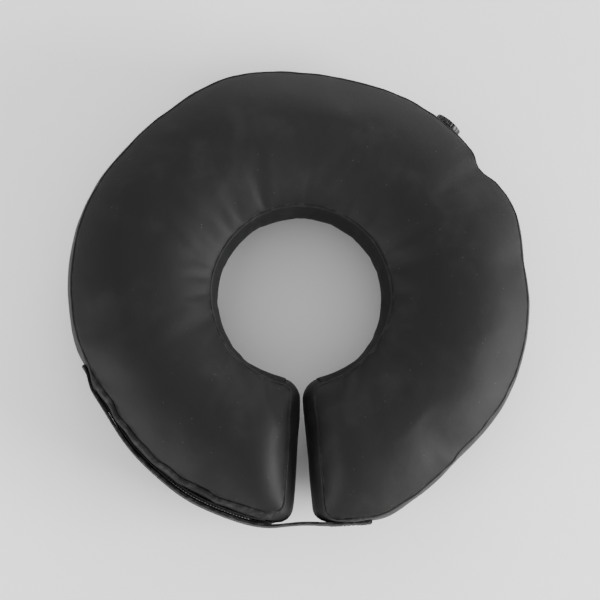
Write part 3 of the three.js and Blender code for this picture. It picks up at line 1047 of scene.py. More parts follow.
@dataclass
class Jacket:
    """The jacket: two ring panels joined by a gusset round the rim and ends, and a neck band.

    Args:
        cut: The collar's shape.
        columns: Faces round the ring.
        rows: Faces across a panel.
        courses: Faces up a wall.
        cloth: The cloth's thickness.
        shown_folds: How much of the solid's front folds the taut cloth shows.
        course_easing: How much closer the courses lie near the seams: 0 is evenly spaced.
        start_in: How far inside its blown-up shape the jacket starts.
        frames: How many frames the blowing up takes.
        most_moved: The furthest that blowing up may move a point.
        drift_steps: How widely the moves are averaged to find the drift of the whole, which is left out.
        fold_share: How much of the folds that blowing up makes is kept at the neck.
        mid_fold_share: The same along the middle of the tube.
        rim_fold_share: The same along the rim, which the bladder fills tightly.
        held_share: How much of them the strap takes away.
        pucker_base: How deep the puckers are where nothing pulls at a seam.
        pucker_slit: How much deeper they are along the slit.
        pucker_rows: Where the strap and the slit pull the seams into deeper puckers.
        pucker_back: How much of that pull the back seam feels.
        pucker_reach: How far from a seam its puckers fade.
        roll: How far the gusset rolls out past the strap's inner face, along the strap's edges.
        swell: How far that roll swells up.
        roll_peak: Where the roll is highest, as a share of the way from the seam to the strap's edge.
        allowance: How much further out the flat panels were cut than the blown-up rim, which draws in. Not
            used.
        wall_allowance: How much taller the flat walls were cut, for their bulge. Not used.
        ring_share: The share of the flat ring that is left once the slit is cut out. Not used.
        strap_edge: How far from the middle of the wall the roll ends, just past the strap's edge.
        strap_half: Half the height of the gusset that is kept clear of the strap and the tapes.
        strap_clear: The gap that is kept between the gusset and the strap where no tape lies.
        corner_fill: How far the gusset fills out the left corner of the slit.
        corner_span: The angles that this corner lies between.
        corner_zone: How far in from the rim it reaches at most.
        draw_rows: Where the strap draws the front seam in from the rim, and how far.
        waver: How far the seam wanders where the strap pulls at it.
        sink: How deep the stitches draw both seams in.
        valley: How much deeper the seam is drawn in where the strap pulls; less than 0 for shallower.
        seam_wear: How far from a seam the cloth is rubbed.
        off_floor: How high over the floor the jacket's lowest points lie.
    """

    cut: CollarCut
    columns: int = 300
    rows: int = 30
    courses: int = 20
    cloth: float = 1.3
    shown_folds: float = 0.45
    course_easing: float = 0.85
    start_in: float = 0.5
    frames: int = 20
    most_moved: float = 3.0
    drift_steps: int = 70
    fold_share: float = 0.5
    mid_fold_share: float = 0.2
    rim_fold_share: float = 0.12
    held_share: float = 0.9
    pucker_base: float = 0.17
    pucker_slit: float = 0.25
    pucker_rows: tuple[Row, ...] = (
        Row(205, 8, 0.7),
        Row(222, 12, 1.0),
        Row(245, 14, 0.9),
        Row(262, 9, 0.6),
        Row(282, 7, 0.7),
        Row(312, 14, 0.35),
        Row(34, 9, 0.5),
    )
    pucker_back: float = 0.5
    pucker_reach: float = 7.0
    roll: float = 1.0
    swell: float = 1.4
    roll_peak: float = 0.67
    allowance: float = 2.0
    wall_allowance: float = 1.5
    ring_share: float = 0.965
    strap_edge: float = 12.7
    strap_half: float = 12.6
    strap_clear: float = 0.3
    corner_fill: float = 2.4
    corner_span: tuple[float, float] = (250.0, 270.0)
    corner_zone: float = 30.0
    draw_rows: tuple[Row, ...] = (Row(222, 14, 1.8), Row(252, 17, 4.3))
    waver: float = 1.1
    sink: float = 0.2
    valley: float = -0.8
    seam_wear: float = 2.6
    off_floor: float = 0.02
    points: np.ndarray = field(init=False)
    route: list[tuple[int, int]] = field(init=False)
    seam_plan: np.ndarray = field(init=False)
    seam_angle: np.ndarray = field(init=False)
    outward: np.ndarray = field(init=False)
    faces_out: np.ndarray = field(init=False)
    outer_half: np.ndarray = field(init=False)
    on_rim: np.ndarray = field(init=False)

    def __post_init__(self) -> None:
        """Works out the order of points along the seams: right end, rim, left end and neck."""
        last_row = self.rows
        last_column = self.columns
        self.route = (
            [(0, j) for j in range(last_row)]
            + [(i, last_row) for i in range(last_column)]
            + [(last_column, j) for j in range(last_row, 0, -1)]
            + [(i, 0) for i in range(last_column, 0, -1)]
        )

    @property
    def per_panel(self) -> int:
        """The number of points of a ring panel."""
        return (self.columns + 1) * (self.rows + 1)

    @property
    def gusset_segments(self) -> int:
        """The number of steps of the seams' route along the gusset."""
        return 2 * self.rows + self.columns

    def wall_index(self, course: int, stop: int) -> int:
        """The number of a wall's point, which is a panel's point in the lowest and highest course.

        Args:
            course: The course, counted up from the back seam.
            stop: The stop of the seams' route, which starts again after the last.

        Returns:
            The point's number in the jacket.
        """
        stop %= len(self.route)
        i, j = self.route[stop]
        on_panel = i * (self.rows + 1) + j
        if course == 0:
            return self.per_panel + on_panel
        if course == self.courses:
            return on_panel
        return 2 * self.per_panel + (course - 1) * len(self.route) + stop

    def wall_share(self, course: int) -> float:
        """How high a course is, as a share of the wall, with courses closer near the seams."""
        even = course / self.courses
        return lerp(even, (1 - math.cos(math.pi * even)) / 2, self.course_easing)

    def lay_seams(self, plan: np.ndarray) -> None:
        """Works out where the seams run and how they face.

        Args:
            plan: The panels' points in plan, in a grid.
        """
        seam = np.array([plan[i, j] for i, j in self.route])
        along = directions_along(seam)
        radial = seam / np.linalg.norm(seam, axis=1)[:, None]
        self.seam_plan = seam
        self.seam_angle = polar(seam)[0]
        self.outward = np.stack((along[:, 1], -along[:, 0]), axis=-1)
        self.faces_out = (self.outward * radial).sum(axis=1) ** 2
        self.outer_half = np.array([j > self.rows / 2 for _, j in self.route])
        self.on_rim = np.where(self.outer_half, self.faces_out, 0.0)

    def wall_bulge(self) -> np.ndarray:
        """How far the walls stand out at mid height, at each stop of the seams' route."""
        full = np.where(self.outer_half, self.cut.rim_bulge_at(self.seam_angle), self.cut.neck_bulge)
        return lerp(self.cut.end_bulge, full, self.faces_out)

    def start_shape(self) -> None:
        """Lays out the jacket's points at its blown-up shape."""
        cut = self.cut
        u, v = np.meshgrid(
            np.linspace(0, 1, self.columns + 1), np.linspace(0, 1, self.rows + 1), indexing="ij"
        )
        plan = cut.plan_point(u, v)
        front = np.concatenate((plan, cut.front_height(plan, self.shown_folds)[..., None]), axis=-1)
        back = np.concatenate((plan, cut.back_height(plan)[..., None]), axis=-1)
        self.lay_seams(plan)
        bulge = self.wall_bulge()
        courses = []
        for course in range(1, self.courses):
            share = self.wall_share(course)
            z = lerp(cut.back_seam_z, cut.front_seam_z, share)
            out = bulge * arch(share) + self.roll_at(z) + self.fill_at(z)
            flat = self.seam_plan + self.outward * out[:, None]
            courses.append(np.column_stack((flat, z + self.roll_rise(z))))
        self.points = np.concatenate((front.reshape(-1, 3), back.reshape(-1, 3), *courses))

    def past_strap(self, z: float) -> float:
        """How far up from the seam a height lies: 0 at the seam and 1 at the strap's edge."""
        half = self.cut.gusset_height / 2
        return (half - abs(z - self.cut.middle_z)) / (half - self.strap_edge)

    def roll_at(self, z: float) -> np.ndarray:
        """How far the gusset rolls out above and below the strap.

        Args:
            z: The height.

        Returns:
            The distance at each stop of the seams' route.
        """
        past = self.past_strap(z)
        shape = min(1.0, (past / self.roll_peak) ** 0.7) * float(1 - smoothstep(past, 0.7, 1.05))
        return (self.cut.strap_lift(self.seam_angle % 360.0) + self.roll) * shape * self.held()

    def roll_rise(self, z: float) -> np.ndarray:
        """How far that roll swells up past the seam, or down past it at the back.

        Args:
            z: The height.

        Returns:
            The rise at each stop.
        """
        past = min(self.past_strap(z), self.roll_peak)
        shape = math.sin(math.pi * past / self.roll_peak)
        return math.copysign(self.swell, z - self.cut.middle_z) * shape * self.held()

    def held(self) -> np.ndarray:
        """1 where the strap holds the gusset in, and 0 elsewhere, at each stop."""
        return self.cut.under_strap(self.seam_angle) * self.on_rim

    def bare(self, angle: np.ndarray) -> np.ndarray:
        """Where the gusset has no tape between it and the strap.

        Args:
            angle: Angles round the collar.

        Returns:
            1 where it is bare, and 0 where it isn't.
        """
        turned = angle % 360.0
        before = 1 - smoothstep(turned, self.cut.tape_tip - 1.3, self.cut.tape_tip - 0.4)
        return before + smoothstep(turned, self.cut.loop_end + 0.5, self.cut.loop_end + 1.5)

    def fill_at(self, z: float) -> np.ndarray:
        """How far the gusset fills the room that the strap leaves past the tapes' ends.

        Args:
            z: The height.

        Returns:
            The distance at each stop.
        """
        turned = self.seam_angle % 360.0
        inside = (turned > self.cut.strap_tip) & (turned < self.cut.strap_root)
        room = np.maximum(0.0, self.cut.strap_lift(turned) - self.strap_clear) * self.bare(turned) * inside
        first, last = self.corner_span
        rounding = arch(self.faces_out) * (turned > first) * (turned < last)
        on_outside = polar(self.seam_plan)[1] > self.cut.rim_radius - self.corner_zone
        upright = float(1 - smoothstep(abs(z - self.cut.middle_z), 11.0, 15.0))
        return upright * (room * self.on_rim**1.5 + self.corner_fill * rounding * on_outside)

    def faces(self) -> list[Face]:
        """The faces of the whole jacket.

        Returns:
            The faces, all pointing out.
        """
        made = []
        for face in quads(self.columns + 1, self.rows + 1):
            made.append(face)
            made.append(tuple(self.per_panel + number for number in reversed(face)))
        stops = range(len(self.route))
        walls = [self.wall_index(course, stop) for course in range(self.courses + 1) for stop in stops]
        for face in quads(self.courses + 1, len(stops), closed=True):
            made.append(tuple(walls[number] for number in face))
        return made

    def seam_loop(self, front: bool) -> list[int]:
        """The numbers of the points along the front seam or the back seam."""
        return [self.wall_index(self.courses if front else 0, stop) for stop in range(len(self.route))]

    @staticmethod
    def normals(shell: Piece) -> np.ndarray:
        """The outward normals of a mesh's points.

        Args:
            shell: The mesh's object.

        Returns:
            The normals, one a row.
        """
        found = np.empty(len(shell.data.vertices) * 3)
        shell.data.vertex_normals.foreach_get("vector", found)
        return found.reshape(-1, 3)

    def add_pressure(self, shell: Piece) -> bpy.types.Modifier:
        """Sets up the cloth simulation that blows the jacket up.

        Args:
            shell: The skin, which has its seams in a group.

        Returns:
            The modifier.
        """
        modifier = shell.modifiers.new("cloth", "CLOTH")
        settings = modifier.settings
        settings.quality = 5
        settings.mass = 0.01
        settings.tension_stiffness = 18
        settings.compression_stiffness = 18
        settings.shear_stiffness = 6
        settings.bending_stiffness = 0.8
        settings.air_damping = 3
        settings.use_pressure = True
        settings.uniform_pressure_force = 4
        settings.vertex_group_shrink = "seams"
        settings.shrink_min = -0.02
        settings.shrink_max = 0.03
        settings.effector_weights.gravity = 0
        modifier.point_cache.frame_start = 1
        modifier.point_cache.frame_end = self.frames
        return modifier

    def blow_up(self, shell: Piece) -> None:
        """Blows the jacket up with a cloth simulation, and keeps the move small and smooth.

        Args:
            shell: The jacket's skin.
        """
        start = self.points - self.normals(shell) * self.start_in
        self.set_points(shell, start)
        seams = shell.vertex_groups.new(name="seams")
        seams.add(self.seam_loop(True) + self.seam_loop(False), 1.0, "REPLACE")
        modifier = self.add_pressure(shell)
        for number in range(1, self.frames + 1):
            bpy.context.scene.frame_set(number)
        make_active(shell)
        bpy.ops.object.modifier_apply(modifier=modifier.name)
        bpy.context.scene.frame_set(1)
        blown = np.empty(len(shell.data.vertices) * 3)
        shell.data.vertices.foreach_get("co", blown)
        moved = blown.reshape(-1, 3) / MM - start
        drift = self.smoothed(shell, moved, self.drift_steps)
        folds = self.smoothed(shell, moved, 2) - drift
        length = np.linalg.norm(folds, axis=1)
        LOG.info("blown up: median fold %.2f mm, deepest %.2f mm", np.median(length), length.max())
        folds *= self.kept_share()[:, None]
        length = np.linalg.norm(folds, axis=1)[:, None]
        folds *= self.most_moved / np.sqrt(self.most_moved**2 + length**2)
        self.points = self.points + folds

    def kept_share(self) -> np.ndarray:
        """How much of its folds each point keeps.

        Returns:
            The shares, which are less at the rim and nearly nothing under the strap.
        """
        angle, radius = polar(self.points)
        rim = self.cut.rim_seam(angle)
        across = (radius - self.cut.neck_seam) / (rim - self.cut.neck_seam)
        share = lerp(self.fold_share, self.mid_fold_share, smoothstep(across, 0.12, 0.5))
        share = lerp(share, self.rim_fold_share, smoothstep(across, 0.6, 0.95))
        held = self.cut.under_strap(angle) * smoothstep(radius - rim, -9.0, -1.0)
        return share * (1 - self.held_share * held)

    @staticmethod
    def smoothed(shell: Piece, values: np.ndarray, times: int) -> np.ndarray:
        """Evens out the points' values.

        Args:
            shell: The mesh that the points belong to.
            values: A row of values for each point.
            times: How many times each is brought nearer to its neighbours' mean.

        Returns:
            The evened values.
        """
        pairs = np.empty(len(shell.data.edges) * 2, dtype=np.int64)
        shell.data.edges.foreach_get("vertices", pairs)
        first, second = pairs.reshape(-1, 2).T
        count = np.bincount(np.concatenate((first, second)), minlength=len(values))[:, None]
        for _ in range(times):
            total = np.zeros_like(values)
            for axis in range(values.shape[1]):
                total[:, axis] += np.bincount(first, values[second, axis], len(values))
                total[:, axis] += np.bincount(second, values[first, axis], len(values))
            values = lerp(values, total / count, 0.6)
        return values

    def seam_pull(self, front: bool) -> tuple[np.ndarray, np.ndarray]:
        """How a seam's cloth is drawn at each stop.

        Args:
            front: Whether it is the front seam.

        Returns:
            How deep the puckers are, and how far the seam itself wanders outwards.
        """
        lengths = lengths_along(self.seam_plan)
        seed = 5 if front else 23
        pulled = sum_of_rows(self.pucker_rows, self.seam_angle) * (1.0 if front else self.pucker_back)
        strength = self.pucker_base + pulled * self.on_rim + (1 - self.faces_out) * self.pucker_slit
        waves = 0.8 * loop_noise(lengths, 7.5, seed) + 0.35 * loop_noise(lengths, 4.0, seed + 1)
        shift = strength * loop_noise(lengths, 8.5, seed + 2) * self.waver * self.on_rim
        if front:
            shift = shift - sum_of_rows(self.draw_rows, self.seam_angle) * self.held()
        return strength * waves, shift

    def fade(self, grid: np.ndarray, edge: np.ndarray) -> np.ndarray:
        """How strongly an edge's puckers reach the points of a panel, from 0 to 1."""
        return np.exp(-np.linalg.norm(grid - edge, axis=-1) / self.pucker_reach)

    def pucker_panel(
        self, grid: np.ndarray, depth: np.ndarray, shift: np.ndarray
    ) -> tuple[np.ndarray, np.ndarray]:
        """How a panel moves when its seam is puckered.

        Args:
            grid: The panel's points, in rows round the ring.
            depth: How deep the puckers are at each stop of the seam.
            shift: How far the seam wanders outwards at each stop.

        Returns:
            How far each point moves along its normal, and its move in plan beside the rim.
        """
        at_stop = {place: stop for stop, place in enumerate(self.route)}
        rim_stops = [at_stop[(i, self.rows)] for i in range(self.columns + 1)]
        neck_stops = [at_stop[(i, 0)] for i in range(self.columns + 1)]
        right_stops = [at_stop[(0, j)] for j in range(self.rows + 1)]
        left_stops = [at_stop[(self.columns, j)] for j in range(self.rows + 1)]
        beside_rim = self.fade(grid, grid[:, -1:, :])
        total = (
            depth[rim_stops][:, None] * beside_rim
            + depth[neck_stops][:, None] * self.fade(grid, grid[:, :1, :])
            + depth[right_stops][None, :] * self.fade(grid, grid[:1, :, :])
            + depth[left_stops][None, :] * self.fade(grid, grid[-1:, :, :])
        )
        along_rim = (shift[:, None] * self.outward)[rim_stops][:, None, :] * beside_rim[..., None]
        return total.ravel(), along_rim.reshape(-1, 2)

    def pucker(self, shell: Piece) -> None:
        """Draws the cloth into small puckers along the seams.

        Args:
            shell: The jacket's skin.
        """
        stops = len(self.route)
        moves = np.zeros(len(self.points))
        wander = np.zeros_like(self.points)
        for front in (True, False):
            depth, shift = self.seam_pull(front)
            first = 0 if front else self.per_panel
            panel = slice(first, first + self.per_panel)
            grid = self.points[panel].reshape(self.columns + 1, self.rows + 1, 3)
            moves[panel], wander[panel, :2] = self.pucker_panel(grid, depth, shift)
            for course in range(1, self.courses):
                share = self.wall_share(course)
                away = (1 - share if front else share) * self.cut.gusset_height
                start = 2 * self.per_panel + (course - 1) * stops
                wall = slice(start, start + stops)
                moves[wall] += depth * math.exp(-away / self.pucker_reach)
                near = float(1 - smoothstep(away / (self.cut.gusset_height / 2 - self.strap_edge), 0.6, 1.1))
                wander[wall, :2] += shift[:, None] * self.outward * near
        self.points = self.points + self.normals(shell) * moves[:, None] + wander

    def pulled(self) -> np.ndarray:
        """How strongly the strap pulls at the rim's seams, from 0 to 1, at each stop."""
        return np.clip(sum_of_rows(self.pucker_rows, self.seam_angle), 0, 1) * self.on_rim

    def draw_in_seams(self, shell: Piece) -> None:
        """Sinks both seams a little, where the stitches hold the cloth in.

        Args:
            shell: The jacket's skin.
        """
        depth = np.zeros(len(self.points))
        for front in (True, False):
            depth[self.seam_loop(front)] = self.sink + self.valley * self.pulled()
        self.points = self.points - self.normals(shell) * depth[:, None]

    def keep_clear(self) -> None:
        """Keeps the jacket on the floor, and under the tapes and the strap."""
        cut = self.cut
        self.points[:, 2] = np.maximum(self.points[:, 2], self.off_floor)
        wall = self.points[2 * self.per_panel :]
        angle, radius = polar(wall)
        covered = (cut.under_strap(angle) > 0.02) & (np.abs(wall[:, 2] - cut.middle_z) < self.strap_half)
        room = np.maximum(0.0, cut.strap_lift(angle % 360.0) - self.strap_clear) * self.bare(angle)
        most = cut.rim_face(angle, wall[:, 2]) + np.maximum(0.25, room)
        wall[:, :2] *= np.where(covered & (radius > most), most / radius, 1.0)[:, None]

    def shape(self) -> None:
        """Makes the jacket's whole skin, blown up and puckered."""
        self.start_shape()
        shell = add_mesh("jacket_shell", self.points, self.faces())
        self.blow_up(shell)
        self.set_points(shell, self.points)
        self.pucker(shell)
        self.set_points(shell, self.points)
        self.draw_in_seams(shell)
        self.keep_clear()
        discard(shell)

    @staticmethod
    def set_points(shell: Piece, points: np.ndarray) -> None:
        """Moves a mesh's points to places in millimetres."""
        shell.data.vertices.foreach_set("co", (points * MM).ravel())
        shell.data.update()

    def seam_nearness(self, panel: Panel, used: np.ndarray) -> np.ndarray:
        """How near the points of a piece lie to its seams.

        Args:
            panel: The piece.
            used: The numbers of its points in the jacket.

        Returns:
            1 on a seam, falling towards 0 away from it.
        """
        if panel.is_ring:
            u, v = np.divmod(used % self.per_panel, self.rows + 1)
            from_rings = np.minimum(v, self.rows - v) * self.cut.tube_width / self.rows
            from_ends = np.minimum(u, self.columns - u) * 1.4
            away = np.minimum(from_rings, from_ends)
        else:
            z = self.points[used, 2]
            away = np.minimum(z - self.cut.back_seam_z, self.cut.front_seam_z - z)
        return np.exp(-np.maximum(away, 0) / self.seam_wear)

    def seam_length(self, start: int, end: int) -> float:
        """The length of the seam from one stop to a later one."""
        return float(steps_along(self.seam_plan)[start:end].sum())

    def wall_cut(self, stops: Sequence[int]) -> tuple[np.ndarray, np.ndarray, list[Face]]:
        """The points, flat cut and faces of a stretch of wall.

        Args:
            stops: The stops of the seams' route that it runs along.

        Returns:
            The numbers of its points in the jacket, their flat places, and the faces by those points.
        """
        length = [self.seam_length(stops[0], stop) for stop in stops]
        used = []
        flat = []
        for course in range(self.courses + 1):
            for k, stop in enumerate(stops):
                used.append(self.wall_index(course, stop))
                flat.append((length[k], self.wall_share(course) * self.cut.gusset_height))
        return np.array(used), np.array(flat), quads(self.courses + 1, len(stops))

    def panel_cut(self, panel: Panel) -> tuple[np.ndarray, np.ndarray, list[Face]]:
        """The points, flat cut and faces of a ring panel.

        Args:
            panel: The front or the back panel.

        Returns:
            What wall_cut gives.
        """
        faces = quads(self.columns + 1, self.rows + 1)
        used = np.arange(self.per_panel)
        if panel is Panel.BACK:
            used = used + self.per_panel
            faces = [face[::-1] for face in faces]
        return used, self.points[used][:, :2], faces

    def piece(self, panel: Panel) -> Piece:
        """Cuts one piece of cloth out of the skin and gives it its thickness.

        Args:
            panel: Which piece.

        Returns:
            The piece.
        """
        stops = range(self.gusset_segments + 1)
        if panel is Panel.NECK:
            stops = range(self.gusset_segments, len(self.route) + 1)
        used, flat, faces = self.panel_cut(panel) if panel.is_ring else self.wall_cut(stops)
        made = add_mesh(f"{panel.value}_cloth", self.points[used], faces)
        lay_uv(made, flat)
        mark_seam(made, self.seam_nearness(panel, used))
        apply_modifier(made, "SOLIDIFY", thickness=self.cloth * MM, offset=-1.0)
        apply_modifier(made, "SUBSURF", levels=1, render_levels=1)
        return made

    def declare(self, made: Piece, panel: Panel) -> None:
        """Takes a piece and does nothing with it.

        Args:
            made: The piece. Not used.
            panel: Which piece it is.
        """
        if panel.is_ring:
            return

    def build(self, effects: SurfaceEffects) -> None:
        """Args:
            effects: The shared effects.
        """
        self.shape()
        cloth = ClothFinish("jacket cloth").material(effects)
        matt = ClothFinish("neck cloth", tone=0.006, roughness=0.72, sheen=0.01).material(effects)
        for panel in Panel:
            made = self.piece(panel)
            is_neck = panel is Panel.NECK
            dress(made, matt if is_neck else cloth, "neck_cloth" if is_neck else "jacket_cloth", panel.value)
            self.declare(made, panel)


@dataclass
class SeamRolls:
    """The seam allowances: a slim roll of cloth along each of the jacket's two seams.

    Args:
        jacket: The jacket, already shaped.
        radius: The roll's radius.
        slimmest: The share of it that is left along the rim and the neck, where nothing pulls.
        sunk: How deep its middle lies in the seam.
        deepest: The same where the strap pulls at the seam.
        unevenness: How much its thickness varies, as a share.
        sides: Faces round the roll.
        side_width: The width of each of them on the flat cut.
        wear: How much it is rubbed, as nearness to a seam.
    """

    jacket: Jacket
    radius: float = 0.95
    slimmest: float = 0.8
    sunk: float = 0.45
    deepest: float = 1.2
    unevenness: float = 0.1
    sides: int = 8
    side_width: float = 0.75
    wear: float = 0.75

    def roll(self, front: bool) -> Piece:
        """Makes one roll.

        Args:
            front: Whether it is the front seam's.

        Returns:
            The roll.
        """
        jacket = self.jacket
        seam = jacket.points[jacket.seam_loop(front)]
        along = directions_along(seam)
        out = np.column_stack((jacket.outward, np.zeros(len(seam))))
        out -= along * (out * along).sum(axis=1)[:, None]
        out /= np.linalg.norm(out, axis=1)[:, None]
        up = np.cross(out, along)
        up *= np.sign(up[:, 2])[:, None]
        corner = (out + up * (1.0 if front else -1.0)) / math.sqrt(2)
        middle = seam - corner * lerp(self.sunk, self.deepest, jacket.pulled())[:, None]
        lengths = lengths_along(seam)
        slim = lerp(self.slimmest, 1.0, np.maximum(jacket.pulled(), 1 - jacket.faces_out))
        uneven = 1 + self.unevenness * loop_noise(lengths, 4.0, 41 if front else 43)
        thickness = (self.radius * slim * uneven)[:, None]
        rings = []
        for side in range(self.sides):
            turn = -2 * math.pi * side / self.sides
            rings.append(middle + thickness * (out * math.cos(turn) + up * math.sin(turn)))
        points = np.stack(rings, axis=1).reshape(-1, 3)
        faces = quads(len(seam), self.sides, closed=True, looped=True)
        made = add_mesh("front_seam_roll" if front else "back_seam_roll", points, faces)
        round_it = np.tile(np.arange(self.sides) * self.side_width, len(seam))
        lay_uv(made, np.stack((np.repeat(lengths, self.sides), round_it), axis=-1))
        mark_seam(made, np.full(len(points), self.wear))
        return made

    def build(self, effects: SurfaceEffects) -> None:
        """Makes both rolls and dresses them.

        Args:
            effects: The shared effects.
        """
        cloth = ClothFinish("seam cloth", lint=0.02).material(effects)
        dress(self.roll(True), cloth, "welt_cloth", "front_welt")
        dress(self.roll(False), cloth, "welt_cloth", "back_welt")


@dataclass
class Closure:
    """The strap across the slit and the hook-and-loop tapes under it.

    Args:
        cut: The collar's shape.
        strap_width: The strap's width.
        strap_thickness: Its thickness.
        strap_round: The radius of its free end's corners.
        tape_width: The width of both tapes.
        columns: Faces across a band.
        face_length: The length of a band's faces, apart from the short ones at its free end.
        edge_wear: How far from an edge a band is rubbed.
        edge_round: The radius of its edges.
        stitch_pitch: The spacing of the stitches at the strap's root.
        stitch_thickness: The diameter of their thread.
        stitch_box: How far from the strap's root their box starts and ends.
        stitch_half: Half the box's width.
        stitch_lift: How far the middle of the thread lies above the strap.
    """

    cut: CollarCut
    strap_width: float = 24.0
    strap_thickness: float = 1.5
    strap_round: float = 3.5
    tape_width: float = 21.0
    columns: int = 16
    face_length: float = 1.6
    edge_wear: float = 1.2
    edge_round: float = 0.35
    stitch_pitch: float = 2.5
    stitch_thickness: float = 1.0
    stitch_box: tuple[float, float] = (3.0, 23.0)
    stitch_half: float = 8.6
    stitch_lift: float = 0.08

    def on_band(self, angle: np.ndarray, z: np.ndarray, lift: np.ndarray) -> np.ndarray:
        """Points at a lift from the rim.

        Args:
            angle: Their angles round the collar.
            z: Their heights.
            lift: How far each stands off the rim.

        Returns:
            The points, with x, y and z along the last axis.
        """
        radius = self.cut.rim_face(angle, z) + lift
        turned = np.radians(angle)
        return np.stack((radius * np.cos(turned), radius * np.sin(turned), z), axis=-1)

    @staticmethod
    def half_width(stops: np.ndarray, width: float, rounded: float) -> np.ndarray:
        """Half a band's width along it.

        Args:
            stops: Distances from its free end.
            width: Its full width.
            rounded: The radius of its free end's corners, or 0.

        Returns:
            Half the width at each stop.
        """
        past = np.clip(rounded - stops, 0, rounded)
        return width / 2 - rounded + np.sqrt(rounded**2 - past**2)

    def band(
        self,
        name: str,
        span: tuple[float, float],
        size: tuple[float, float],
        lift: Callable[[np.ndarray], np.ndarray],
        rounded: float = 0.0,
    ) -> Piece:
        """Makes a band round the rim.

        Args:
            name: The object's name.
            span: The angles that it runs between, free end first.
            size: Its width and its thickness.
            lift: Gives how far its inner face stands off the rim at an angle.
            rounded: The radius of its free end's corners.

        Returns:
            The band, with its edges rounded.
        """
        width, thickness = size
        length = math.radians(span[1] - span[0]) * self.cut.rim_radius
        near = (0.0, 0.25, 0.7, 1.3, 2.0, 2.8, 3.8)
        stops = np.concatenate((near, np.linspace(5.2, length, int(length / self.face_length))))
        shares = np.linspace(-1, 1, self.columns + 1)
        half = self.half_width(stops, width, rounded)[:, None]
        across = shares[None, :] * half
        along = np.repeat(stops[:, None], self.columns + 1, axis=1)
        angles = span[0] + np.degrees(along / self.cut.rim_radius)
        inner = self.on_band(angles, self.cut.middle_z + across, lift(angles))
        faces = [(a, d, c, b) for a, b, c, d in quads(len(stops), self.columns + 1)]
        made = add_mesh(name, inner.reshape(-1, 3), faces)
        lay_uv(made, np.stack((along, across), axis=-1).reshape(-1, 2))
        edge = np.minimum(half - np.abs(across), along)
        mark_seam(made, np.exp(-np.maximum(edge, 0) / self.edge_wear).ravel())
        apply_modifier(made, "SOLIDIFY", thickness=thickness * MM, offset=1.0)
        rounding = {"width": self.edge_round * MM, "segments": 2, "angle_limit": 0.9}
        apply_modifier(made, "BEVEL", limit_method="ANGLE", **rounding)
        return made

    def tape(self, name: str, end: float, lift: float) -> Piece:
        """Makes one of the two tapes.

        Args:
            name: The object's name.
            end: The angle of its end near the strap's root.
            lift: How far it stands off the rim.

        Returns:
            The tape.
        """
        size = (self.tape_width, self.cut.tape_thickness)
        return self.band(name, (self.cut.tape_tip, end), size, lambda angle: np.full_like(angle, lift))

    def declare(self, band: Piece, span: tuple[float, float], width: float) -> None:
        """Takes a band and does nothing with it."""

    def stitch(self) -> Piece:
        """Models one stitch: a short thread, thick in the middle and sunk at both ends.

        Returns:
            The stitch, at the origin.
        """
        deselect_all()
        radius = self.stitch_thickness / 2 * MM
        bpy.ops.mesh.primitive_uv_sphere_add(segments=8, ring_count=6, radius=radius)
        thread = bpy.context.object
        bpy.ops.object.mode_set(mode="EDIT")
        bpy.ops.mesh.select_all(action="SELECT")
        bpy.ops.transform.resize(value=(2.0, 0.56, 0.5))
        bpy.ops.mesh.select_all(action="DESELECT")
        bpy.ops.object.mode_set(mode="OBJECT")
        return thread

    def stitch_run(self, start: Vector, end: Vector) -> list[tuple[float, float, float]]:
        """Spaces stitches evenly along a straight run.

        Args:
            start: The run's start, along the strap from its root and across it.
            end: Its end.

        Returns:
            Each stitch's place along and across, and its turn.
        """
        way = end - start
        count = max(1, round(way.length / self.stitch_pitch))
        middles = [start + way * ((k + 0.5) / count) for k in range(count)]
        return [(at.x, at.y, math.atan2(way.y, way.x)) for at in middles]

    def stitch_places(self) -> list[tuple[float, float, float]]:
        """Where the stitches of the boxed cross lie on the strap's root.

        Returns:
            Their places, as stitch_run gives them.
        """
        near, far = self.stitch_box
        low_near, low_far = Vector((near, -self.stitch_half)), Vector((far, -self.stitch_half))
        high_near, high_far = Vector((near, self.stitch_half)), Vector((far, self.stitch_half))
        box = (low_near, low_far, high_far, high_near, low_near)
        runs = list(zip(box, box[1:])) + [(low_near, high_far), (high_near, low_far)]
        return [place for start, end in runs for place in self.stitch_run(start, end)]

    def stitches(self) -> Piece:
        """Copies the stitch to every place of the boxed cross.

        Returns:
            All the stitches as one piece.
        """
        thread = self.stitch()
        points = np.array([vertex.co[:] for vertex in thread.data.vertices]) / MM
        faces = [tuple(polygon.vertices) for polygon in thread.data.polygons]
        up = np.array((0.0, 0.0, 1.0))
        all_points = []
        all_faces = []
        for along, across, turned in self.stitch_places():
            angle = self.cut.strap_root - math.degrees(along / self.cut.rim_radius)
            lift = self.cut.strap_lift(np.array(angle)) + self.strap_thickness + self.stitch_lift
            seat = self.on_band(np.array(angle), np.array(self.cut.middle_z + across), lift)
            out = np.array((math.cos(math.radians(angle)), math.sin(math.radians(angle)), 0.0))
            back = np.array((out[1], -out[0], 0.0))
            way = back * math.cos(turned) + up * math.sin(turned)
            base = len(all_points) * len(points)
            all_points.append(seat + points @ np.stack((way, np.cross(out, way), out)))
            all_faces.extend(tuple(base + i for i in face) for face in faces)
        made = add_mesh("strap_box_stitches", np.concatenate(all_points), all_faces)
        discard(thread)
        bpy.context.view_layer.update()
        lay_uv(made, np.concatenate(all_points)[:, [0, 2]])
        return made

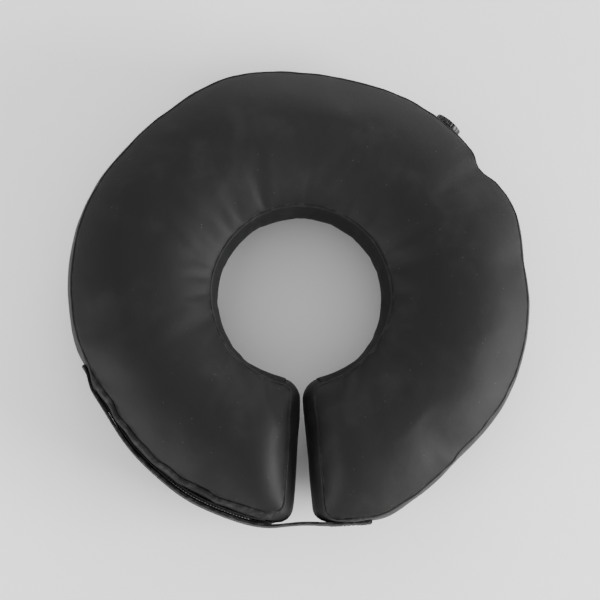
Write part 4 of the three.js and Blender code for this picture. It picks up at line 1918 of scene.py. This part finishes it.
    def build(self, effects: SurfaceEffects) -> None:
        """Makes the strap, its stitches and both tapes, and dresses them.

        Args:
            effects: The shared effects.
        """
        cut = self.cut
        span = (cut.strap_tip, cut.strap_root)
        size = (self.strap_width, self.strap_thickness)
        strap = self.band("strap_webbing", span, size, cut.strap_lift, self.strap_round)
        dress(strap, WebbingFinish().material(effects), "strap_webbing", "closure_strap")
        self.declare(strap, span, self.strap_width)
        loop = self.tape("loop_tape_pile", cut.loop_end, cut.layer_gap)
        dress(loop, TapeFinish(TapeKind.LOOP).material(effects), "loop_cloth", "loop_tape")
        self.declare(loop, (cut.tape_tip, cut.loop_end), self.tape_width)
        hook = self.tape("hook_tape_hooks", cut.hook_end, cut.hook_lift)
        dress(hook, TapeFinish(TapeKind.HOOK).material(effects), "hook_nylon", "hook_tape")
        self.declare(hook, (cut.tape_tip, cut.hook_end), self.tape_width)
        thread = ClothFinish("strap thread", tone=0.03, roughness=0.5, sheen=0.1, pitch=0.0003, lint=0.0)
        dress(self.stitches(), thread.material(effects), "strap_webbing")


@dataclass
class AirSystem:
    """The bladder inside the jacket and its valve on the rim.

    Args:
        cut: The collar's shape.
        clearance: The bladder's distance from the jacket's walls.
        panel_clearance: Its distance from the panels, in clearances.
        end_clearance: Its distance from the slit, beyond half the slit's width.
        end_reach: How far from its ends it reaches its full width.
        steps: Its rings between the rounded ends.
        end_steps: The rings of each end.
        sides: Faces round it.
        weld: How far its welded rim stands out.
        least: The least radius of its rings.
        halvings: How many times the distance to the jacket's walls is narrowed down.
        valve_at: The angle that the valve is at.
        valve_gap: The gap between the gusset and the valve's cap.
        cap_diameter: The cap's diameter.
        cap_height: Its height.
        stem_diameter: The diameter of the stem through the gusset.
        stem_inside: The stem's length.
    """

    cut: CollarCut
    clearance: float = 3.9
    panel_clearance: float = 1.15
    end_clearance: float = 6.5
    end_reach: float = 27.0
    steps: int = 96
    end_steps: int = 9
    sides: int = 28
    weld: float = 1.4
    least: float = 0.3
    halvings: int = 16
    valve_at: float = 50.0
    valve_gap: float = 0.3
    cap_diameter: float = 17.0
    cap_height: float = 3.0
    stem_diameter: float = 11.0
    stem_inside: float = 11.0

    def is_inside(self, place: np.ndarray) -> np.ndarray:
        """Whether points lie inside the jacket, clear of its walls.

        Args:
            place: The points, with x, y and z along the last axis.

        Returns:
            True for each that does.
        """
        cut = self.cut
        angle, radius = polar(place)
        plan = place[..., :2]
        z = place[..., 2]
        wall = arch(np.clip((z - cut.back_seam_z) / cut.gusset_height, 0, 1))
        deepest = cut.front_rise * max(row.size for row in cut.folds)
        clear = self.clearance * self.panel_clearance
        return (
            (z < cut.front_height(plan, folded=0.0) - deepest - clear)
            & (z > cut.back_height(plan) + clear)
            & (radius < cut.rim_seam(angle) + cut.rim_bulge_at(angle) * wall - self.clearance)
            & (radius > cut.neck_seam - cut.neck_bulge * wall + self.clearance)
        )

    def room_from(self, centre: np.ndarray, direction: np.ndarray) -> np.ndarray:
        """How far the bladder can reach from the middle of the tube.

        Args:
            centre: The middle of each ring.
            direction: The directions round each ring.

        Returns:
            The distance in each direction.
        """
        near = np.zeros(direction.shape[:2])
        far = np.full_like(near, self.cut.tube_width)
        for _ in range(self.halvings):
            halfway = (near + far) / 2
            inside = self.is_inside(centre + direction * halfway[..., None])
            near = np.where(inside, halfway, near)
            far = np.where(inside, far, halfway)
        return near

    def bladder(self) -> Piece:
        """Lofts the bladder: a C of tube with rounded ends and a welded rim round its middle.

        Returns:
            The bladder.
        """
        cut = self.cut
        middle = (cut.neck_diameter + cut.tube_width) / 2
        start = cut.slit_half(np.array(middle)) + self.end_clearance
        length = 2 * math.pi * middle
        eased = 1 - np.cos(np.linspace(0, math.pi / 2, self.end_steps + 2))
        end = start + eased[1:-1] * self.end_reach
        body = np.linspace(start + self.end_reach, length - start - self.end_reach, self.steps)
        stops = np.concatenate((end, body, (length - end)[::-1]))
        from_end = (np.minimum(stops, length - stops) - start) / self.end_reach
        share = np.sqrt(1 - (1 - np.clip(from_end, 0, 1)) ** 2)
        angle = np.radians(cut.slit_at + 360.0 * stops / length)
        side = np.arange(self.sides)
        turn = -2 * math.pi * side / self.sides
        out = np.stack((np.cos(angle), np.sin(angle), np.zeros_like(angle)), axis=-1)[:, None, :]
        up = np.array((0.0, 0.0, 1.0))
        direction = out * np.cos(turn)[None, :, None] + up * np.sin(turn)[None, :, None]
        centre = out * middle + up * cut.middle_z
        drawn_in = np.where(side % (self.sides // 2) == 0, 0.0, self.weld)
        reach = self.room_from(centre, direction) * share[:, None] - drawn_in[None, :]
        points = centre + direction * np.maximum(reach, self.least)[..., None]
        faces = quads(len(stops), self.sides, closed=True)
        last = (len(stops) - 1) * self.sides
        faces.append(tuple(range(self.sides))[::-1])
        faces.append(tuple(range(last, last + self.sides)))
        return add_mesh("bladder_film", points.reshape(-1, 3), faces)

    def valve(self) -> Piece:
        """Models the valve: a stem, a flange and a capped lid with finger grips.

        Returns:
            The valve, in its place.
        """
        deselect_all()
        height = self.cap_height * MM
        bpy.ops.mesh.primitive_cylinder_add(
            vertices=48,
            radius=self.cap_diameter / 2 * MM,
            depth=height,
            location=(0, 0, height / 2),
            end_fill_type="NGON",
        )
        lid = bpy.context.object
        lid.name = "valve_body"
        bpy.ops.object.transform_apply(location=True, rotation=False, scale=False)
        bpy.ops.object.mode_set(mode="EDIT")
        self.pick_faces(lid, lambda face: abs(face.normal.z) < 0.5 and face.index % 3 == 0)
        self.cut_grips()
        self.pick_faces(lid, lambda face: self.is_end(face, 1.0, height))
        self.sink_lid()
        self.pick_faces(lid, lambda face: self.is_end(face, -1.0, 0.0))
        bpy.ops.mesh.inset(thickness=(self.cap_diameter - self.stem_diameter) / 2 * MM)
        bpy.ops.mesh.extrude_region_move(TRANSFORM_OT_translate={"value": (0, 0, -self.stem_inside * MM)})
        bpy.ops.mesh.select_all(action="DESELECT")
        bpy.ops.object.mode_set(mode="OBJECT")
        apply_modifier(lid, "BEVEL", width=0.22 * MM, segments=2, limit_method="ANGLE", angle_limit=0.6)
        bpy.ops.object.shade_smooth_by_angle(angle=math.radians(38))
        self.seat_on_rim(lid)
        return lid

    @staticmethod
    def is_end(face: bmesh.types.BMFace, way: float, level: float) -> bool:
        """Whether a face is an end of the cap.

        Args:
            face: The face.
            way: 1 for the top and -1 for the bottom.
            level: The height of that end.

        Returns:
            Whether it points that way and lies at that height.
        """
        return face.normal.z * way > 0.9 and abs(face.calc_center_median().z - level) < 0.1 * MM

    @staticmethod
    def cut_grips() -> None:
        """Sinks the selected faces of the cap's side between its finger grips."""
        bpy.ops.mesh.inset(thickness=0.12 * MM, use_individual=True)
        bpy.ops.transform.shrink_fatten(value=-0.5 * MM)

    @staticmethod
    def sink_lid() -> None:
        """Sinks a moat round the selected top, and leaves a raised button in its middle."""
        bpy.ops.mesh.inset(thickness=1.4 * MM)
        bpy.ops.mesh.inset(thickness=0.5 * MM)
        bpy.ops.transform.translate(value=(0, 0, -0.7 * MM))
        bpy.ops.mesh.inset(thickness=3.0 * MM)
        bpy.ops.mesh.inset(thickness=0.3 * MM)
        bpy.ops.transform.translate(value=(0, 0, 0.5 * MM))

    @staticmethod
    def pick_faces(piece: Piece, test: Callable[[bmesh.types.BMFace], bool]) -> None:
        """Selects faces in edit mode.

        Args:
            piece: The piece, which is in edit mode.
            test: Says whether a face is selected.
        """
        bpy.ops.mesh.select_mode(type="FACE")
        bpy.ops.mesh.select_all(action="DESELECT")
        shell = bmesh.from_edit_mesh(piece.data)
        shell.faces.ensure_lookup_table()
        for face in shell.faces:
            face.select = test(face)
        bmesh.update_edit_mesh(piece.data)

    def seat_on_rim(self, piece: Piece) -> None:
        """Moves a mesh modelled along Z to its place on the rim, pointing out.

        Args:
            piece: The mesh's object.
        """
        middle = self.cut.middle_z
        seat = float(self.cut.rim_face(np.array(self.valve_at), np.array(middle))) + self.valve_gap
        turned = math.radians(self.valve_at)
        place = Vector((seat * math.cos(turned), seat * math.sin(turned), middle)) * MM
        out = Vector((math.cos(turned), math.sin(turned), 0.0))
        piece.data.transform(Matrix.Translation(place) @ out.to_track_quat("Z", "Y").to_matrix().to_4x4())

    def build(self, effects: SurfaceEffects) -> None:
        """Makes the bladder and the valve and dresses them."""
        dress(self.bladder(), FilmFinish().material(effects), "bladder_film", "bladder")
        dress(self.valve(), PlasticFinish().material(effects), "valve_plastic", "valve")


@dataclass(frozen=True)
class Softbox:
    """A soft lamp that faces the collar.

    Args:
        name: Its name.
        place: Where it stands, in metres.
        size: Its width and height, in metres.
        power: Its power, in watts.
        target: The point that it faces, in metres.
    """

    name: str
    place: tuple[float, float, float]
    size: tuple[float, float]
    power: float
    target: tuple[float, float, float] = (0.0, 0.0, 0.03)

    def build(self) -> None:
        """Adds the lamp."""
        data = bpy.data.lights.new(self.name, "AREA")
        data.shape = "RECTANGLE"
        data.size, data.size_y = self.size
        data.energy = self.power
        lamp = bpy.data.objects.new(self.name, data)
        bpy.context.scene.collection.objects.link(lamp)
        lamp.location = self.place
        facing = Vector(self.target) - Vector(self.place)
        lamp.rotation_euler = facing.to_track_quat("-Z", "Y").to_euler()


@dataclass
class Studio:
    """The camera, the soft lights and the pale floor.

    Args:
        azimuth: The side that the camera leans to, 0 for -Y.
        elevation: How steeply the camera looks down.
        distance: How far it stands off, in metres.
        lens: Its focal length in millimetres.
        aim: The point that it looks at, in metres.
        lamps: The soft lights.
        floor_size: The floor's width, in metres.
    """

    azimuth: float = -20.0
    elevation: float = 81.0
    distance: float = 1.25
    lens: float = 128.0
    aim: tuple[float, float, float] = (0.0, -0.001, 0.032)
    lamps: tuple[Softbox, ...] = (
        Softbox("key", (1.33, -0.42, 0.45), (0.8, 0.6), 52.0),
        Softbox("fill", (-1.08, -0.75, 0.42), (0.8, 0.5), 19.0),
        Softbox("back", (0.2, 1.35, 0.5), (1.1, 0.6), 16.0),
    )
    floor_size: float = 8.0

    def camera(self) -> None:
        """Puts the camera over the collar, with the slit at the bottom of the picture."""
        turned = math.radians(self.azimuth)
        raised = math.radians(self.elevation)
        level = math.cos(raised)
        back = Vector((math.sin(turned) * level, -math.cos(turned) * level, math.sin(raised)))
        data = bpy.data.cameras.new("camera")
        data.lens = self.lens
        data.sensor_width = 36.0
        camera = bpy.data.objects.new("camera", data)
        bpy.context.scene.collection.objects.link(camera)
        upward = (Vector((0, 1, 0)) - back * back.y).normalized()
        right = upward.cross(back)
        turn = Matrix((right, upward, back)).transposed().to_4x4()
        camera.matrix_world = Matrix.Translation(Vector(self.aim) + back * self.distance) @ turn
        bpy.context.scene.camera = camera

    def floor(self) -> None:
        """Lays the plain pale floor."""
        deselect_all()
        bpy.ops.mesh.primitive_plane_add(size=self.floor_size)
        floor = bpy.context.object
        floor.name = "floor"
        floor.data.materials.append(FloorFinish().material())

    @staticmethod
    def surroundings() -> None:
        """Lights the room evenly from all sides."""
        world = bpy.data.worlds.new("studio")
        world.use_nodes = True
        background = world.node_tree.nodes["Background"]
        background.inputs[0].default_value = (1.0, 1.0, 1.0, 1.0)
        background.inputs[1].default_value = 1.0
        bpy.context.scene.world = world

    def build(self) -> None:
        """Sets the studio up."""
        self.camera()
        self.floor()
        self.surroundings()
        for lamp in self.lamps:
            lamp.build()


def main() -> None:
    """Builds the studio and the collar's pieces in order."""
    logging.basicConfig(level=logging.INFO, format="%(message)s")
    Studio().build()
    effects = SurfaceEffects()
    cut = CollarCut()
    jacket = Jacket(cut)
    jacket.build(effects)
    SeamRolls(jacket).build(effects)
    Closure(cut).build(effects)
    AirSystem(cut).build(effects)


if __name__ == "__main__":
    main()
